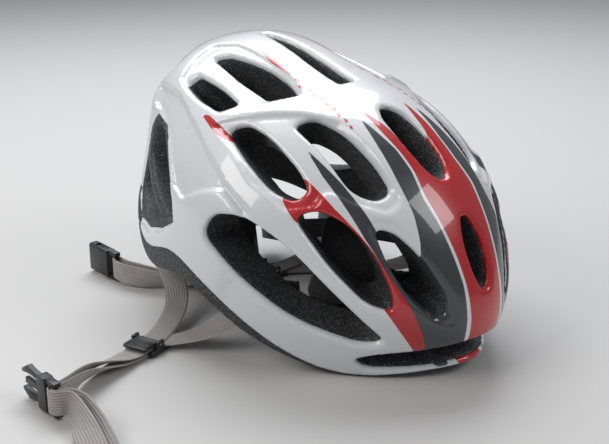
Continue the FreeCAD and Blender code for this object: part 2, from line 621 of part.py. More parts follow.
# ---------------------------------------------------------------------------------------------------
# The harness, in the row frame: flat webbing, two cam-lock dividers and the buckle
# ---------------------------------------------------------------------------------------------------
# Each route: points of the webbing's middle line, and the direction of its width at each point
ROUTES = {
    "right_front_strap": [
        ((-88, -22.7, 34), (0, .93, .37)), ((-88, -20, 27), (0, .93, .37)), ((-91.5, -13, 19.5), (.35, .75, .55)),
        ((-98, -4, 12), (.6, .7, .35)), ((-106, 8, 5.5), (.75, .6, .1)), ((-117.2, 20.6, 1.7), (.75, .66, 0))],
    "right_rear_strap": [
        ((-80, 71.5, 51.5), (0, .93, .37)), ((-79.5, 74, 43), (-.1, .95, .3)), ((-78, 69, 33), (-.4, .8, -.3)),
        ((-77, 57, 21), (-.85, .4, -.3)), ((-86, 42, 12), (-.8, .5, 0)), ((-101, 31, 6.4), (-.55, .8, 0)),
        ((-117.2, 22.9, 3.5), (-.45, .89, 0))],
    "right_chin_strap_inner": [
        ((-134.8, 16.3, 1.2), (.3, -.95, 0)), ((-150, 11.6, 1.8), (.3, -.95, .1)), ((-166, 7, 4.4), (.2, -.85, .5)),
        ((-182, 0.5, 8), (.1, -.6, .8)), ((-195, -9, 10), (0, -.3, .95)), ((-203, -14.2, 11), (0, 0, 1)),
        ((-212.4, -15.6, 11.4), (0, 0, 1)), ((-212.4, -20.4, 11.4), (0, 0, 1)), ((-204, -21.6, 11), (.1, 0, 1)),
        ((-201, -30, 9.8), (.35, .1, .9)), ((-203.5, -42, 7.8), (.6, 0, .7)), ((-207, -56, 5), (.9, -.25, .3)),
        ((-212, -74, 1.7), (.95, -.3, .05)), ((-219, -92, 1.0), (.93, -.36, 0))],
    "right_chin_strap_outer": [
        ((-134.8, 16.3, 2.9), (.3, -.95, 0)), ((-149.4, 12.2, 4.3), (.3, -.95, .1)),
        ((-164.6, 9.2, 7.4), (.2, -.85, .5)), ((-180.3, 3.8, 10), (.1, -.6, .8)),
        ((-193.6, -5.8, 11.2), (0, -.3, .95)), ((-202.6, -12, 11.4), (0, 0, 1)), ((-214.2, -13.8, 11.6), (0, 0, 1)),
        ((-214.2, -22.2, 11.6), (0, 0, 1)), ((-206, -24, 11.4), (.1, 0, 1)), ((-206.5, -32, 10.6), (.35, .1, .9)),
        ((-210, -43, 9), (.6, 0, .7)), ((-214, -57, 7), (.9, -.25, .3)), ((-219, -74, 4.2), (.95, -.3, .05)),
        ((-226, -90, 3), (.93, -.36, 0))],
    "left_front_strap": [
        ((88, -22.7, 34), (0, .93, .37)), ((88, -20, 25), (.05, .95, .3)), ((86, -12, 14), (.3, .9, .3)),
        ((77, 5, 5.5), (.65, .75, .1)), ((60, 26, 2), (.7, .7, 0)), ((40, 44, 1.4), (.66, .75, 0)),
        ((20.3, 60.3, 1.5), (.17, .98, 0))],
    "left_rear_strap": [
        ((80, 71.5, 51.5), (0, .93, .37)), ((80, 74.5, 42), (0, .95, .3)), ((79, 76, 30), (0, 1, .1)),
        ((75, 74, 16), (.1, 1, .1)), ((64, 70, 5.5), (.1, 1, 0)), ((47, 65, 2.8), (.1, 1, 0)),
        ((20.3, 60.9, 3.4), (.17, .98, 0))],
    "left_chin_strap": [
        ((-.3, 63.2, 1.2), (.17, -.98, 0)), ((-15, 64.8, 1.4), (.1, -.99, 0)), ((-31, 67.4, 1.7), (-.2, -.98, 0)),
        ((-44, 74, 2.3), (-.5, -.85, .12)), ((-54.5, 84, 5.6), (-.45, -.55, .6)), ((-64, 94.5, 8), (-.2, -.25, .95)),
        ((-72, 106, 9.2), (0, 0, 1)), ((-76.8, 117, 10.2), (0, 0, 1)), ((-77.6, 127.4, 11.2), (0, 0, 1)),
        ((-82.4, 127.4, 11.2), (0, 0, 1)), ((-83.4, 116, 10.2), (0, 0, 1)), ((-78.5, 104, 9.4), (0, 0, 1)),
        ((-69.5, 93, 8.6), (-.2, -.25, .95)), ((-57.5, 80.5, 7.4), (-.45, -.55, .6)),
        ((-45.6, 71, 4.3), (-.5, -.85, .12)), ((-32, 65, 3.6), (-.2, -.98, 0)), ((-15, 63.2, 3), (.1, -.99, 0)),
        ((-.3, 62.2, 2.9), (.17, -.98, 0))],
}


def arcs_of(points):
    """Straight runs joined by tangent arcs, each as large as its runs allow: (point, tangent, run share)."""
    spots = [(points[0], (points[1] - points[0]).normalize(), 0.0)]
    radii = []
    for k in range(1, len(points) - 1):
        before, after = points[k] - points[k - 1], points[k + 1] - points[k]
        turn = before.getAngle(after)
        back = 0.45 * min(before.Length, after.Length)
        radius = back / math.tan(turn / 2)
        radii.append(round(radius, 1))
        start = points[k] - Vector(before).normalize() * back
        steps = max(2, int(math.degrees(turn) / 12) + 1)
        forward = Vector(before).normalize()
        inward = (Vector(after).normalize() - forward * math.cos(turn)).normalize()
        for step in range(steps + 1):
            angle = turn * step / steps
            at = start + forward * (radius * math.sin(angle)) + inward * (radius * (1 - math.cos(angle)))
            spots.append((at, forward * math.cos(angle) + inward * math.sin(angle), k - 0.45 + 0.9 * step / steps))
    spots.append((points[-1], (points[-1] - points[-2]).normalize(), len(points) - 1.0))
    return spots, radii


def make_webbing(name, route):
    points = [Vector(*point) for point, _ in route]
    widths = [Vector(*width) for _, width in route]
    spots, radii = arcs_of(points)
    wide, thick = size("web_wide"), size("web_thick")
    wires = []
    length = 0.0
    for k, (at, tangent, share) in enumerate(spots):
        low = min(int(share), len(widths) - 2)
        width = widths[low] * (1 - share + low) + widths[low + 1] * (share - low)
        width = (width - tangent * width.dot(tangent)).normalize() * (wide / 2)
        normal = tangent.cross(width).normalize() * (thick / 2)
        corners = [at + width + normal, at - width + normal, at - width - normal, at + width - normal]
        wires.append(Part.makePolygon(corners + corners[:1]))
        length += (at - spots[k - 1][0]).Length if k else 0.0
    shape = Part.makeLoft(wires, True, True)
    feature(name, shape)
    share = shape.Volume / (wide * thick * length)
    print("%-24s length %.0f, volume share %.3f, radii %s" % (name, length, share, radii))


# where the hardware lies: the dividers lie flat, and the buckle's halves stand on their long edges
DIVIDERS = {"right": (Vector(-126, 19, 0.4), 197.5), "left": (Vector(10, 62, 0.4), 170.0)}
MALE_AT = Vector(-210, -11, 11.5)
FEMALE_AT = Vector(-80, 132, 11.5)
BAR_BACK = -7.0


def make_divider(word):
    spot, yaw = DIVIDERS[word]
    place = FreeCAD.Placement(spot, FreeCAD.Rotation(Vector(0, 0, 1), yaw))
    long, wide, thick = size("divider_long"), size("divider_wide"), size("divider_thick")
    pin, high = size("pin_radius"), 5.6
    slots = [Part.makeBox(2.4, 16.4, 10, Vector(x, -8.2, -1)) for x in (-6.4, 4.0)]
    bore = Part.makeCylinder(pin, wide + 2, Vector(0, -wide / 2 - 1, high), Vector(0, 1, 0))
    boxes("%s_divider" % word, place,
          [(("sizes.divider_long", "sizes.divider_wide", "sizes.divider_thick"), (-long / 2, -wide / 2, 0)),
           (("6", "1.8", "5.2"), (-3, -wide / 2, thick - 0.2)),
           (("6", "1.8", "5.2"), (-3, wide / 2 - 1.8, thick - 0.2))], slots + [bore])
    feature("%s_divider_pin" % word,
            Part.makeCylinder(pin, wide, Vector(0, -wide / 2, high), Vector(0, 1, 0)), place)
    half = wide / 2 - 1.8 - 0.3
    barrel = Part.makeCylinder(1.9, 2 * half, Vector(0, -half, high), Vector(0, 1, 0))
    tab = Part.makeBox(14, 2 * half, 1.8, Vector(-0.5, -half, high - 0.4))
    ridges = [Part.makeBox(0.8, 2 * half, 0.7, Vector(x, -half, high + 1.3)) for x in (7, 9, 11)]
    hole = Part.makeCylinder(pin + size("running_gap"), 2 * half + 2, Vector(0, -half - 1, high), Vector(0, 1, 0))
    feature("%s_divider_lever" % word, barrel.fuse([tab] + ridges).cut(hole), place)


def bar_and_rails(wide, body_back):
    """The end of a buckle half that the webbing goes round: two rails and a round bar."""
    half = wide / 2
    rails = [Part.makeBox(body_back - BAR_BACK + 2.0, 4.2, 2.6, Vector(BAR_BACK - 2.0, -2.1, z))
             for z in (-half, half - 2.6)]
    bar = Part.makeCylinder(size("bar_radius"), wide - 1, Vector(BAR_BACK, 0, 0.5 - half))
    return rails + [bar]


def make_buckle():
    wide, thick = size("buckle_wide") - 4, size("buckle_thick")
    half = wide / 2
    male = FreeCAD.Placement(MALE_AT, FreeCAD.Rotation(Vector(0, 0, 1), 90))
    block = Part.makeBox(9, thick, wide, Vector(0, -thick / 2, -half))
    upright = [e for e in block.Edges if abs(e.Vertexes[0].Y - e.Vertexes[1].Y) > 3]
    block = block.makeFillet(2.0, upright)
    guide = Part.makeBox(17, 2.4, 3.6, Vector(8.5, -1.2, -1.8))
    body = block.fuse(bar_and_rails(wide, 1.0) + [guide]).removeSplitter()
    feature("male_buckle", body, male)
    for word, side in (("upper", 1), ("lower", -1)):
        outline = [(9.4, 5.2), (9.4, 8.6), (19, 9.6), (20.5, 10.4), (22.0, 10.4), (28, 6.6), (28, 4.6),
                   (22, 5.6), (18, 6.0)]
        corners = [Vector(x, -1.8, side * z) for x, z in outline]
        prong = Part.Face(Part.makePolygon(corners + corners[:1])).extrude(Vector(0, 3.6, 0))
        feature("%s_prong" % word, prong, male)
    female = FreeCAD.Placement(FEMALE_AT, FreeCAD.Rotation(Vector(0, 0, 1), 90))
    shell = Part.makeBox(23, 8, wide, Vector(0, -4, -half))
    upright = [e for e in shell.Edges if abs(e.Vertexes[0].X - e.Vertexes[1].X) > 3]
    shell = shell.makeFillet(2.0, upright)
    hollow = Part.makeBox(24, 5, wide - 3.4, Vector(2.5, -2.5, 1.7 - half))
    windows = [Part.makeBox(9, 4.4, 5, Vector(9, -2.2, z)) for z in (-half - 2, half - 3)]
    body = shell.cut([hollow] + windows).fuse(bar_and_rails(wide, 1.0)).removeSplitter()
    feature("female_buckle", body, female)


make_helmet()
make_anchors()
make_pads()
make_housing()
make_dial()
make_arms()
make_tongue()
make_nape_pads()
for word in SIDES:
    make_divider(word)
make_buckle()
for name, route in ROUTES.items():
    make_webbing(name, route)

doc.recompute()
for item in doc.Objects:
    bad = [state for state in item.State if state in ("Invalid", "Error")]
    if bad:
        raise RuntimeError("%s: %s" % (item.Label, bad))
os.makedirs("parts", exist_ok=True)
for item in nodes:
    shape = item.Shape
    if shape.isNull() or not shape.isValid() or not shape.Solids:
        raise RuntimeError("%s has no valid solid" % item.Label)
    shape.exportStep("parts/%s.step" % item.Label)
print(len(nodes), "pieces")
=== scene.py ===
"""A cycling helmet lying nose down: shell, bead-foam liner, pads, rear cradle and webbing harness."""
import json
import math

import bpy
import numpy as np
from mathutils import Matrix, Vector


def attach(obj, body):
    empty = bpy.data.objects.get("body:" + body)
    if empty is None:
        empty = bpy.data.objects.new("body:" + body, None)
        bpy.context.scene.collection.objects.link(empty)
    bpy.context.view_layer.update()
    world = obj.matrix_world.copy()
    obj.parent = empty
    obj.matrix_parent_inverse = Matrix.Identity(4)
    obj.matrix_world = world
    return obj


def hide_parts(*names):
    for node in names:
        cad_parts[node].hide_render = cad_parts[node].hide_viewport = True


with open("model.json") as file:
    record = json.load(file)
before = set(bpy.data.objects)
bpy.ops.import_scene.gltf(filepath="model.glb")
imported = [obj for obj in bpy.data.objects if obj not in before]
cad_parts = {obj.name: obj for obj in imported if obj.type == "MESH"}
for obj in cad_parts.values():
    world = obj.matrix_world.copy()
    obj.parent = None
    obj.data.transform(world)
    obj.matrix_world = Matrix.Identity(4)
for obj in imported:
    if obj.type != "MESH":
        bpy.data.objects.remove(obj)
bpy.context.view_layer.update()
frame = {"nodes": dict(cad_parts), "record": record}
MM = 0.001

# --------------------------------------------------
# Camera, floor and light
# --------------------------------------------------
VIEW_TURN = math.radians(-42.1)
VIEW_RISE = math.radians(19.7)
VIEW_AT = Vector((19.1, 34.3, 45.4)) * MM
VIEW_FAR = 0.746
VIEW_WIDE = math.radians(32.1)


def back_vector(turn, rise):
    return Vector((math.sin(turn) * math.cos(rise), -math.cos(turn) * math.cos(rise), math.sin(rise)))


def make_camera():
    data = bpy.data.cameras.new("camera")
    data.angle = VIEW_WIDE
    data.clip_start = 0.01
    camera = bpy.data.objects.new("camera", data)
    back = back_vector(VIEW_TURN, VIEW_RISE)
    camera.location = VIEW_AT + back * VIEW_FAR
    camera.rotation_euler = back.to_track_quat("Z", "Y").to_euler()
    bpy.context.collection.objects.link(camera)
    bpy.context.scene.camera = camera


def area_light(name, turn, rise, far, wide, power, tint=(1, 1, 1)):
    data = bpy.data.lights.new(name, "AREA")
    data.shape = "RECTANGLE"
    data.size, data.size_y = wide
    data.energy = power
    data.color = tint
    light = bpy.data.objects.new(name, data)
    back = back_vector(math.radians(turn), math.radians(rise))
    light.location = Vector((0, 0, 0.08)) + back * far
    light.rotation_euler = back.to_track_quat("Z", "Y").to_euler()
    bpy.context.collection.objects.link(light)


def make_stage():
    size = 6.0
    mesh = bpy.data.meshes.new("floor")
    corners = [(-size, -size, 0), (size, -size, 0), (size, size, 0), (-size, size, 0)]
    mesh.from_pydata([Vector(c) - Vector((0, 0, 0.0002)) for c in corners], [], [(0, 1, 2, 3)])
    floor = bpy.data.objects.new("floor", mesh)
    bpy.context.collection.objects.link(floor)
    paint = Material("floor_paint", (0.62, 0.61, 0.60), 0.55)
    paint.bump(paint.noise(220.0, 3), 0.02)
    mesh.materials.append(paint.material)
    world = bpy.data.worlds.new("studio")
    world.use_nodes = True
    world.node_tree.nodes["Background"].inputs["Color"].default_value = (0.82, 0.86, 0.92, 1)
    world.node_tree.nodes["Background"].inputs["Strength"].default_value = 0.26
    bpy.context.scene.world = world
    bpy.context.scene.view_settings.view_transform = "Standard"
    area_light("side", -105, 38, 1.3, (0.8, 0.6), 6.0, (1.0, 0.97, 0.93))
    area_light("window", 150, 55, 1.3, (1.3, 0.8), 17.0, (0.95, 0.97, 1.0))
    area_light("front", 25, 40, 1.6, (0.7, 0.5), 5.0)


# --------------------------------------------------
# Materials
# --------------------------------------------------
class Material:
    """A Principled material with small helpers for procedural detail; sizes are in metres on the piece."""

    def __init__(self, name, colour, rough, metal=0.0, **sockets):
        self.material = bpy.data.materials.new(name)
        self.material.use_nodes = True
        self.tree = self.material.node_tree
        self.shader = self.tree.nodes["Principled BSDF"]
        self.shader.inputs["Base Color"].default_value = (*colour, 1)
        self.shader.inputs["Roughness"].default_value = rough
        self.shader.inputs["Metallic"].default_value = metal
        for key, value in sockets.items():
            self.shader.inputs[key.replace("_", " ")].default_value = value
        self.place = self.node("ShaderNodeTexCoord").outputs["Object"]

    def node(self, kind, **settings):
        node = self.tree.nodes.new(kind)
        for key, value in settings.items():
            setattr(node, key, value)
        return node

    def link(self, output, socket):
        self.tree.links.new(output, socket)

    def noise(self, scale, detail=2.0, place=None):
        node = self.node("ShaderNodeTexNoise")
        node.inputs["Scale"].default_value = scale
        node.inputs["Detail"].default_value = detail
        self.link(place or self.place, node.inputs["Vector"])
        return node.outputs["Fac"]

    def cells(self, scale, feature="F1"):
        node = self.node("ShaderNodeTexVoronoi", feature=feature)
        node.inputs["Scale"].default_value = scale
        self.link(self.place, node.inputs["Vector"])
        return node.outputs

    def attribute(self, name):
        return self.node("ShaderNodeAttribute", attribute_name=name).outputs["Fac"]

    def math(self, operation, first, second=0.0, clamp=False):
        node = self.node("ShaderNodeMath", operation=operation, use_clamp=clamp)
        for value, socket in ((first, node.inputs[0]), (second, node.inputs[1])):
            if isinstance(value, (int, float)):
                socket.default_value = value
            else:
                self.link(value, socket)
        return node.outputs[0]

    def steps(self, value, low, high, out_low=0.0, out_high=1.0):
        node = self.node("ShaderNodeMapRange", clamp=True)
        self.link(value, node.inputs["Value"])
        ends = (("From Min", low), ("From Max", high), ("To Min", out_low), ("To Max", out_high))
        for key, number in ends:
            node.inputs[key].default_value = number
        return node.outputs["Result"]

    def mix(self, factor, first, second):
        node = self.node("ShaderNodeMix", data_type="RGBA")
        self.link(factor, node.inputs["Factor"])
        for value, socket in ((first, node.inputs["A"]), (second, node.inputs["B"])):
            if isinstance(value, tuple):
                socket.default_value = (*value, 1)
            else:
                self.link(value, socket)
        return node.outputs["Result"]

    def colour(self, output):
        self.link(output, self.shader.inputs["Base Color"])

    def roughness(self, output):
        self.link(output, self.shader.inputs["Roughness"])

    def bump(self, height, depth, distance=0.001):
        node = self.node("ShaderNodeBump")
        node.inputs["Strength"].default_value = depth
        node.inputs["Distance"].default_value = distance
        self.link(height, node.inputs["Height"])
        if self.shader.inputs["Normal"].is_linked:
            self.link(self.shader.inputs["Normal"].links[0].from_socket, node.inputs["Normal"])
        self.link(node.outputs["Normal"], self.shader.inputs["Normal"])


WHITE = (0.80, 0.81, 0.83)
RED = (0.52, 0.006, 0.010)
GREY = (0.040, 0.043, 0.049)


def shell_paint():
    """Clear-coated paint; each stripe is a signed distance stored on the shell, in millimetres."""
    paint = Material("shell_paint", WHITE, 0.30, Coat_Weight=1.0, Coat_Roughness=0.04)
    edge = 0.18
    colour = paint.mix(paint.noise(35.0, 3), WHITE, tuple(0.975 * c for c in WHITE))
    for name, tint in STRIPE_COLOURS.items():
        inside = paint.steps(paint.attribute(name), -edge, edge)
        colour = paint.mix(inside, colour, tint)
    wear = paint.steps(paint.attribute("lip"), 0.2, 2.2, 0.35, 0.0)
    scuff = paint.math("MULTIPLY", wear, paint.steps(paint.noise(260.0, 6), 0.45, 0.75))
    paint.colour(paint.mix(scuff, colour, (0.45, 0.46, 0.48)))
    paint.roughness(paint.steps(paint.noise(60.0, 4), 0.3, 0.7, 0.26, 0.38))
    paint.bump(paint.noise(55.0, 1), 0.05)
    return paint.material


def bead_foam():
    """Black expanded-bead foam: small pressed beads with fine dark joints and pale specks between them."""
    foam = Material("bead_foam", (0.030, 0.031, 0.034), 0.62)
    beads = foam.cells(560.0, "F1")
    edges = foam.cells(560.0, "DISTANCE_TO_EDGE")["Distance"]
    joint = foam.steps(edges, 0.01, 0.10)
    tone = foam.steps(beads["Color"], 0.0, 1.0)
    colour = foam.mix(tone, (0.020, 0.021, 0.023), (0.052, 0.054, 0.058))
    colour = foam.mix(joint, (0.012, 0.012, 0.013), colour)
    dust = foam.steps(foam.noise(1300.0, 3), 0.56, 0.68)
    foam.colour(foam.mix(foam.math("MULTIPLY", dust, 0.7), colour, (0.40, 0.40, 0.41)))
    foam.roughness(foam.steps(tone, 0.0, 1.0, 0.42, 0.72))
    foam.bump(joint, 0.30, 0.0004)
    return foam.material


def moulded(name, colour, rough):
    """Moulded plastic with a fine spark-eroded texture and slightly polished high spots."""
    plastic = Material(name, colour, rough)
    grain = plastic.noise(1800.0, 3)
    wear = plastic.steps(plastic.noise(90.0, 4), 0.4, 0.7)
    plastic.colour(plastic.mix(wear, colour, tuple(1.5 * c + 0.006 for c in colour)))
    plastic.roughness(plastic.steps(wear, 0.0, 1.0, rough, rough + 0.14))
    plastic.bump(grain, 0.16, 0.0003)
    return plastic.material


def pad_cloth():
    """Brushed knit over soft foam, with small pale fibres."""
    cloth = Material("pad_cloth", (0.030, 0.031, 0.034), 0.92, Sheen_Weight=0.5, Sheen_Roughness=0.4)
    loops = cloth.cells(1300.0, "F1")["Distance"]
    cloth.colour(cloth.mix(cloth.steps(loops, 0.1, 0.7), (0.050, 0.051, 0.055), (0.014, 0.014, 0.016)))
    cloth.bump(loops, 0.5, 0.0004)
    return cloth.material


def webbing_cloth():
    """Grey polyester webbing with painted shade in its weave's grooves; u runs across the tape from 0 to 1,
    and v along it in millimetres.
    """
    tape = Material("webbing_cloth", (0.50, 0.455, 0.430), 0.78, Sheen_Weight=0.35, Sheen_Roughness=0.5)
    split = tape.node("ShaderNodeSeparateXYZ")
    tape.link(tape.node("ShaderNodeUVMap", uv_map="tape").outputs["UV"], split.inputs[0])
    across, along = split.outputs["X"], split.outputs["Y"]
    rib = tape.math("SINE", tape.math("MULTIPLY", across, 2 * math.pi * 9))
    pick = tape.math("SINE", tape.math("ADD", tape.math("MULTIPLY", along, 2 * math.pi / 0.9),
                                       tape.math("MULTIPLY", across, 2 * math.pi * 4.5)))
    weave = tape.math("ADD", tape.math("MULTIPLY", rib, 0.6), tape.math("MULTIPLY", pick, 0.5))
    # the weave's height, which also paints shade: darker in the grooves where the bump sinks, lighter on the
    # ridges
    weave_height_and_shade = tape.steps(weave, -1.0, 1.0)
    colour = tape.mix(weave_height_and_shade, (0.27, 0.245, 0.235), (0.60, 0.555, 0.53))
    soil = tape.steps(tape.noise(140.0, 4), 0.40, 0.75, 0.0, 0.45)
    tape.colour(tape.mix(soil, colour, (0.33, 0.30, 0.28)))
    tape.bump(weave_height_and_shade, 0.9, 0.0006)
    return tape.material


def plain_materials():
    steel = Material("screw_steel", (0.55, 0.56, 0.58), 0.28, 1.0)
    steel.bump(steel.noise(900.0, 2), 0.08, 0.0002)
    rubber = Material("grip_rubber", (0.045, 0.046, 0.050), 0.85)
    rubber.bump(rubber.noise(1500.0, 3), 0.3, 0.0003)
    hooks = Material("hook_tape", (0.028, 0.028, 0.030), 0.9)
    hooks.bump(hooks.cells(1500.0)["Distance"], 0.8, 0.0008)
    return {"black_plastic": moulded("black_plastic", (0.020, 0.020, 0.022), 0.36),
            "grey_plastic": moulded("grey_plastic", (0.17, 0.17, 0.18), 0.42),
            "grip_rubber": rubber.material, "steel": steel.material, "hook_tape": hooks.material,
            "pad_fabric": pad_cloth(), "webbing": webbing_cloth(), "foam": bead_foam()}


# --------------------------------------------------
# The helmet's form, in its own level frame: front -Y, the wearer's left +X, millimetres
# --------------------------------------------------
CENTRE = np.array([0.0, 5.0, 62.0])
REST_PITCH = math.radians(22.0)
REST_SHIFT = np.array([0.0, 18.0, 19.0])
OUTER = {"side": 108.5, "front": 152.4, "back": 136.9, "up": 84.6, "down": 201.0,
         "cross_front": 2.0, "cross_back": 2.2, "along_front": 1.68, "along_back": 2.42,
         "side_slope": -0.10, "side_bow": -0.16, "top_slope": -0.16, "top_bow": 0.08}
CAVITY = {"side": 77.0, "front": 101.0, "back": 96.0, "up": 56.0, "down": 201.0,
          "cross_front": 2.1, "cross_back": 2.1, "along_front": 2.3, "along_back": 2.3,
          "side_slope": 0.0, "side_bow": 0.0, "top_slope": -0.05, "top_bow": 0.0}
SHELL_THICK = 1.1
SHELL_GAP = 0.2
LIP_DEEP = 3.6  # how far the shell turns down into each vent
# (back, height) of the foam's lower rim and of the shell's edge above it
FOAM_RIM = [(-190, 66), (-150, 49), (-110, 24), (-70, 20.5), (-45, 25), (-15, 32), (8, 27), (32, 11),
            (90, 7), (170, 3)]
SHELL_RIM = [(-190, 66.5), (-150, 49.6), (-108, 25), (-75, 25), (-52, 32), (-12, 43), (22, 36),
             (46, 18), (90, 13), (170, 8)]


def to_row(points):
    """From the level frame in millimetres to the row frame in metres."""
    c, s = math.cos(REST_PITCH), math.sin(REST_PITCH)
    x, y, z = points[..., 0], points[..., 1], points[..., 2]
    turned = np.stack([x, y * c - z * s, y * s + z * c], -1)
    return (turned + REST_SHIFT) * MM


def reach(form, d):
    """Distance from the centre to a form's surface, along unit directions."""
    x, y, z = d[..., 0], d[..., 1], d[..., 2]
    back = 0.5 + 0.5 * np.tanh(y / 0.3)
    above = 0.5 + 0.5 * np.tanh(z / 0.15)
    long, cross, along = (form[key + "front"] * (1 - back) + form[key + "back"] * back
                          for key in ("", "cross_", "along_"))
    side = form["side"] * (1 + form["side_slope"] * y + form["side_bow"] * y * y)
    top = form["up"] * (1 + form["top_slope"] * y + form["top_bow"] * y * y)
    tall = top * above + form["down"] * (1 - above)
    section = (np.abs(x / side) ** cross + np.abs(z / tall) ** cross) ** (along / cross)
    return (section + np.abs(y / long) ** along) ** (-1 / along)


def form_depth(form, points):
    """Approximate signed distance to a form, negative inside."""
    offset = points - CENTRE
    away = np.linalg.norm(offset, axis=-1) + 1e-9
    unit = offset / away[..., None]
    radius = reach(form, unit)
    gap = away - radius
    # the slope of the radius turns a radial gap into a distance
    step = 0.01
    slope = 0.0
    helper = np.array([0.0, 0.0, 1.0])
    side_a = np.cross(unit, helper)
    side_a /= np.linalg.norm(side_a, axis=-1)[..., None] + 1e-9
    side_b = np.cross(unit, side_a)
    for way in (side_a, side_b):
        other = unit + way * step
        other /= np.linalg.norm(other, axis=-1)[..., None]
        slope = slope + ((reach(form, other) - radius) / (step * radius)) ** 2
    return gap / np.sqrt(1 + slope)


# --------------------------------------------------
# Vents: outlines of great-circle corners round the centre, with rounded corners
# --------------------------------------------------
def roll_tilt(roll, tilt):
    """A direction from the centre: roll from the crown to the left side, tilt towards the back."""
    a, b = math.radians(roll), math.radians(tilt)
    return np.array([math.sin(a) * math.cos(b), math.sin(b), math.cos(a) * math.cos(b)])


def turn_rise(turn, rise):
    """A direction from the centre: turn from the front round to the left side, rise above level."""
    a, b = math.radians(turn), math.radians(rise)
    return np.array([math.sin(a) * math.cos(b), -math.cos(a) * math.cos(b), math.sin(b)])


ROUND = 99  # a corner radius as large as fits
MIDDLE_VENTS = {
    "crown": (roll_tilt, [(5, 4, 2), (5, 20, ROUND), (4, 37, ROUND), (2.2, 50, 3)]),
    "middle": (roll_tilt, [(2.5, -17.5, ROUND), (6.5, -23, ROUND), (8, -36, ROUND), (6.5, -46, ROUND),
                           (2.5, -49.5, ROUND)]),
    "nose": (roll_tilt, [(2.5, -60, ROUND), (8, -65, ROUND), (10, -72, ROUND), (5, -77, ROUND)]),
    "tail": (turn_rise, [(175, 27, 4), (171, 12, ROUND), (174, -4, 5)]),
    "brow": (turn_rise, [(0.01, 3.5, ROUND), (12, -1.5, ROUND), (22, -6.5, ROUND), (28, -11.5, 3),
                         (24, -13.5, ROUND), (12, -8.5, ROUND), (0.01, -3.5, ROUND)]),
}
SIDE_VENTS = {
    "rear_upper": (roll_tilt, [(34.5, 50, 5), (28, 47, 6), (21.5, 30, ROUND), (21.5, 16, ROUND),
                               (24.5, 6.5, 4), (35.5, 12, 4), (36.5, 30, ROUND)]),
    "rear_lower": (roll_tilt, [(53, 46, 4), (46, 45.5, 3), (44, 32, ROUND), (44.5, 18, 3),
                               (52, 22, 4), (54, 34, ROUND)]),
    "upper": (roll_tilt, [(37, -6, ROUND), (29, -8, ROUND), (24.5, -20, ROUND), (24.5, -37, ROUND),
                          (27, -46.5, 6), (35, -46, ROUND), (40.5, -39, ROUND), (37.5, -24, ROUND)]),
    "lower": (roll_tilt, [(55, 11.5, ROUND), (48, 8, ROUND), (46, -5, ROUND), (48, -22, ROUND),
                          (51, -29, ROUND), (57, -28, ROUND), (60, -20, ROUND), (58, -5, ROUND)]),
    "front_upper": (roll_tilt, [(44.5, -50, ROUND), (39, -54.5, ROUND), (36.5, -63, ROUND),
                                (41, -74, ROUND), (52, -77, ROUND), (62, -75.5, ROUND),
                                (60, -68, ROUND), (52, -58, ROUND)]),
    "front_lower": (roll_tilt, [(61.5, -30.5, ROUND), (54, -34.5, ROUND), (50.5, -44, ROUND),
                                (53, -55, ROUND), (63, -63.5, ROUND), (73, -66.5, 6),
                                (76, -60, ROUND), (69, -47, ROUND)]),
    "side": (roll_tilt, [(85, -7, ROUND), (77, -7.5, ROUND), (71, -17, ROUND), (70.5, -34, ROUND),
                         (80, -54, ROUND), (97, -68, 5), (102.5, -62, ROUND), (98.5, -43, ROUND),
                         (91, -24, ROUND)]),
    "corner_upper": (turn_rise, [(101, 0, 3), (107, 5, ROUND), (116, 9.5, ROUND), (129, 12.5, 6),
                                 (137, 10.5, 4), (137, -2, 4), (121, -4.5, ROUND), (106, -4.5, 3)]),
    "corner_lower": (turn_rise, [(109, -8.5, 3), (121, -9, ROUND), (137, -7, 4), (144, -9, 5),
                                 (144, -19, 5), (132, -22, ROUND), (118, -16.5, ROUND)]),
    "tail_side": (turn_rise, [(153, 20, 5), (165, 24, 5), (167, 8, ROUND), (163, -8, 5), (152, -9, 5),
                              (150, 5, ROUND)]),
}


def rounded(points, radii, steps=6):
    """A closed polygon with each corner replaced by an arc no larger than fits."""
    points = np.asarray(points, float)
    outline = []
    count = len(points)
    for k, corner in enumerate(points):
        before, after = points[k - 1] - corner, points[(k + 1) % count] - corner
        len_before, len_after = np.linalg.norm(before), np.linalg.norm(after)
        before, after = before / len_before, after / len_after
        opening = math.acos(float(np.clip(before @ after, -1, 1)))
        turn = math.pi - opening
        if turn < 0.02:
            outline.append(corner)
            continue
        back = min(0.48 * min(len_before, len_after), radii[k] * math.tan(turn / 2))
        start, end = corner + before * back, corner + after * back
        for step in range(steps + 1):
            t = step / steps
            outline.append((1 - t) ** 2 * start + 2 * t * (1 - t) * corner + t * t * end)
    return np.array(outline)


def polygon_distance(u, v, outline):
    """Signed distance from points to a closed polygon, negative inside."""
    best = np.full(u.shape, 1e9)
    inside = np.zeros(u.shape, bool)
    for (ax, ay), (bx, by) in zip(outline, np.roll(outline, -1, 0)):
        ex, ey = bx - ax, by - ay
        wx, wy = u - ax, v - ay
        t = np.clip((wx * ex + wy * ey) / (ex * ex + ey * ey + 1e-12), 0, 1)
        best = np.minimum(best, (wx - t * ex) ** 2 + (wy - t * ey) ** 2)
        crosses = ((ay > v) != (by > v)) & (wx < ex * wy / (ey + 1e-12 if ey >= 0 else ey - 1e-12))
        inside ^= crosses
    return np.sqrt(best) * np.where(inside, -1, 1)


